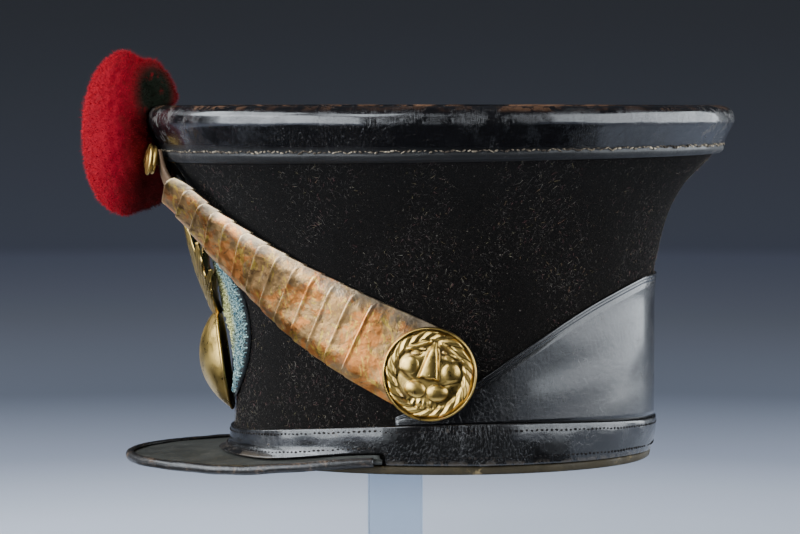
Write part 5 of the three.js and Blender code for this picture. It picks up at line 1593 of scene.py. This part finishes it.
def pompom_wool(points, direction, material):
    rng = np.random.default_rng(53)
    columns, rows = points.shape[:2]
    du = np.roll(points, -1, 0) - np.roll(points, 1, 0)
    dv = np.gradient(points, axis=1)
    normal = unit(np.cross(du, dv))
    normal = normal * np.sign((normal * direction).sum(-1, keepdims=True))
    area = np.linalg.norm(np.cross(du, dv), axis=-1).ravel()
    chosen = rng.choice(columns * rows, POMPOM_WOOL, p=area / area.sum())
    root = points.reshape(-1, 3)[chosen] + rng.normal(size=(POMPOM_WOOL, 3)) * WOOL_SCATTER
    out = normal.reshape(-1, 3)[chosen]
    lean = unit(out + rng.normal(size=out.shape) * WOOL_LEAN)
    length = rng.uniform(0.9, 2.3, POMPOM_WOOL)
    tip = root + lean * length[:, None]
    blocked = inside_hat(tip)
    tip[blocked] = root[blocked] + out[blocked] * 0.3
    width = rng.uniform(0.12, 0.26, POMPOM_WOOL)
    spikes("pompom_wool", root - out * 0.5, tip, width, rng.uniform(0, 1, POMPOM_WOOL), material)


# Stand

def turned_plate(name, diameter, thickness, top, material, node):
    r, foot, bevel = diameter / 2, top - thickness, 0.8
    outline = [(0, foot), (r - bevel, foot), (r, foot + bevel), (r, top - bevel), (r - bevel, top), (0, top)]
    sections = lathed(outline, 160, (0, -POST_FORWARD, -RIM_HEIGHT), (0, 0, 1))
    sharpen(lofted(name, sections, material, node), 30)


def sharpen(obj, angle):
    """Keeps the edges that turn more than `angle` degrees crisp."""
    bpy.context.view_layer.objects.active = obj
    obj.select_set(True)
    bpy.ops.object.shade_smooth_by_angle(angle=math.radians(angle))
    obj.select_set(False)


def stand(material):
    under_crown = RIM_HEIGHT + CROWN_EDGE_HEIGHT - CROWN_DISH - CROWN_THICKNESS - GAP
    foot, plate = STAND_BASE_THICKNESS, STAND_TOP_THICKNESS
    turned_plate("stand_foot_clear", STAND_BASE_DIAMETER, foot, foot, material, "stand_base")
    turned_plate("stand_plate_clear", STAND_TOP_DIAMETER, plate, under_crown, material, "stand_top")
    low, high = foot + GAP, under_crown - plate - GAP
    half, bevel = STAND_POST_WIDTH / 2, 0.7
    corners = []
    for sx, sy in ((1, 1), (-1, 1), (-1, -1), (1, -1)):
        first = (sx * half, sy * (half - bevel))
        second = (sx * (half - bevel), sy * half)
        corners += [first, second] if sx * sy > 0 else [second, first]
    rows = []
    for z, inset in ((low, bevel), (low + bevel, 0), (high - bevel, 0), (high, bevel)):
        row = [(x - math.copysign(inset, x), y - math.copysign(inset, y), z) for x, y in corners]
        rows.append(np.array(row) - (0, POST_FORWARD, RIM_HEIGHT))
    sharpen(lofted("stand_post_clear", np.array(rows), material, "stand_post", around=False), 20)


# Stage and lights

FLOOR_RADIUS = 3.6
SWEEP_RADIUS = 3.0
SWEEP_ANGLE = math.radians(62)
STAGE_SIDES = 96

# Backdrop colours by distance from the middle in metres: painted light, bright round the hat, darkest about a
# metre out, lighter again near the sweep and darkening up it, in place of the lamps' falloff.
STAGE_COLOURS = [
    (0.0, (0.50, 0.53, 0.60)),
    (0.35, (0.46, 0.49, 0.56)),
    (0.65, (0.245, 0.265, 0.325)),
    (1.1, (0.145, 0.16, 0.20)),
    (2.0, (0.30, 0.315, 0.38)),
    (3.27, (0.55, 0.58, 0.74)),
    (4.0, (0.44, 0.46, 0.56)),
    (5.12, (0.27, 0.275, 0.30)),
    (6.6, (0.10, 0.105, 0.125)),
]


def backdrop_material():
    s = Shader("backdrop_paper", Roughness=0.95, Specular_IOR_Level=0.05)
    distance = s.length(s.vector("MULTIPLY", s.position, (1.0, 1.0, 0.0)))
    furthest = STAGE_COLOURS[-1][0]
    share = s.remap(distance, 0.0, furthest, smooth=False)
    return s.finished(s.ramp(share, [(place / furthest, colour) for place, colour in STAGE_COLOURS]))


def stage_surface(name, reach, rise, first, last, material):
    """A surface turned round the hat's axis from one angle to the other; a full turn is closed."""
    around = last - first == TAU
    turn = np.linspace(first, last, STAGE_SIDES, endpoint=not around)[:, None]
    points = np.stack([reach * np.cos(turn), reach * np.sin(turn), rise + 0 * turn], -1)
    faces, _ = grid_faces(*points.shape[:2], around, False)
    obj = new_object(name, points, faces[:, ::-1].tolist(), material)
    return obj


def add_backdrop():
    """A floor that sweeps up into a round backdrop."""
    bend = np.linspace(0, SWEEP_ANGLE, 40)
    floor = np.linspace(0.001, FLOOR_RADIUS, 24)[:-1]
    reach = np.concatenate([floor, FLOOR_RADIUS + SWEEP_RADIUS * np.sin(bend)])
    rise = np.concatenate([0 * floor, SWEEP_RADIUS * (1 - np.cos(bend))])
    stage_surface("backdrop", reach, rise, 0.0, TAU, backdrop_material())


# Black cards that only reflections see, as (radius, height) in metres, and how far round they go
FLAGS = [
    {"name": "flag_low", "profile": [(0.17, 0.002), (0.55, 0.002)], "around": (-118, 62)},
    {"name": "flag_high", "profile": [(0.55, 0.002), (1.7, 0.2), (1.9, 1.0)], "around": (-24, 34)},
]


def add_flags():
    black = Shader("black_card", Roughness=1.0, Specular_IOR_Level=0.0)
    material = black.finished(black.mix(black.noise(40), (0.002, 0.002, 0.002), (0.004, 0.004, 0.004)))
    for row in FLAGS:
        reach, rise = np.array(row["profile"]).T
        flag = stage_surface(row["name"], reach, rise, *np.radians(row["around"]), material)
        flag.visible_camera = False
        flag.visible_diffuse = False
        flag.visible_shadow = False
        flag.visible_transmission = False


# Softboxes: place, point they face and size in metres, power in watts
SOFTBOXES = [
    {"name": "front_high", "place": (0.05, -1.2, 0.95), "faces": (0.0, 0.0, 0.2),
     "size": (1.3, 0.8), "power": 30},
    {"name": "front_low", "place": (0.49, -0.75, 0.3), "faces": (0.0, 0.0, 0.3),
     "size": (1.0, 0.56), "power": 18},
    {"name": "rear", "place": (0.1, 0.95, 0.5), "faces": (0.0, 0.0, 0.5),
     "size": (1.9, 0.95), "power": 34},
    {"name": "camera", "place": (1.5, -0.9, 1.6), "faces": (0.0, 0.0, 0.17),
     "size": (0.8, 0.8), "power": 22},
]
SOFTBOX_TINT = (0.87, 0.935, 1.0)
SURROUNDINGS_COLOUR = (0.30, 0.34, 0.42, 1.0)
SURROUNDINGS_STRENGTH = 0.12


def add_softbox(name, place, faces, size, power):
    data = bpy.data.lights.new(name, "AREA")
    data.shape = "RECTANGLE"
    data.size, data.size_y = size
    data.energy = power
    data.color = SOFTBOX_TINT
    light = bpy.data.objects.new(name, data)
    light.visible_camera = False
    bpy.context.collection.objects.link(light)
    light.location = place
    aimed(light, faces)


def add_lights():
    for row in SOFTBOXES:
        add_softbox("softbox_" + row["name"], row["place"], row["faces"], row["size"], row["power"])
    surroundings = bpy.data.worlds.new("studio")
    bpy.context.scene.world = surroundings
    surroundings.use_nodes = True
    background = surroundings.node_tree.nodes["Background"]
    background.inputs["Color"].default_value = SURROUNDINGS_COLOUR
    background.inputs["Strength"].default_value = SURROUNDINGS_STRENGTH


# Colours of the felt's loose fibres, by the share of fibres below each
FIBRE_COLOURS = [
    (0.0, (0.03, 0.026, 0.024)),
    (0.45, (0.085, 0.072, 0.062)),
    (0.8, (0.17, 0.15, 0.13)),
    (0.9, (0.24, 0.10, 0.10)),
    (0.96, (0.30, 0.25, 0.12)),
    (1.0, (0.42, 0.38, 0.33)),
]


def pompom_stem(material):
    """The CAD's own wire is carried over."""
    stem = bpy.data.objects["pompom_stem"].data
    stem.materials.clear()
    stem.materials.append(material)


def main():
    add_camera()
    add_backdrop()
    add_flags()
    add_lights()
    brass = brass_material()
    felt_body(felt_material())
    felt_fibres(tone_material("felt_fibre_colours", FIBRE_COLOURS))
    rim_strip(rim_material())
    bottom_band(bottom_band_material())
    # The bottom band's stitches are near-black beads: painted shade of the stitch holes they stand for.
    bottom_band_stitches(thread_material("shaded_stitch_holes", (0.004, 0.003, 0.003), (0.03, 0.024, 0.02)))
    peak(peak_material())
    peak_binding(binding_material())
    glossy = top_band_material()
    top_band(glossy)
    top_band_stitches(thread_material("pale_thread", (0.03, 0.022, 0.016), (0.46, 0.38, 0.27)))
    crown(glossy)
    rear_panel(rear_panel_material())
    strap_leather(strap_leather_material())
    copper = scale_material()
    for index in range(1, SCALE_COUNT + 1):
        scale(index, copper)
    boss_plate(copper)
    boss(brass)
    strap_button(brass)
    cockade(wool_material("cockade_back", (0.01, 0.012, 0.014), (0.05, 0.06, 0.06), 300),
            cockade_material())
    grenade_badge(brass)
    pompom(pompom_material())
    stand(acrylic_material())
    pompom_stem(steel_material())


main()
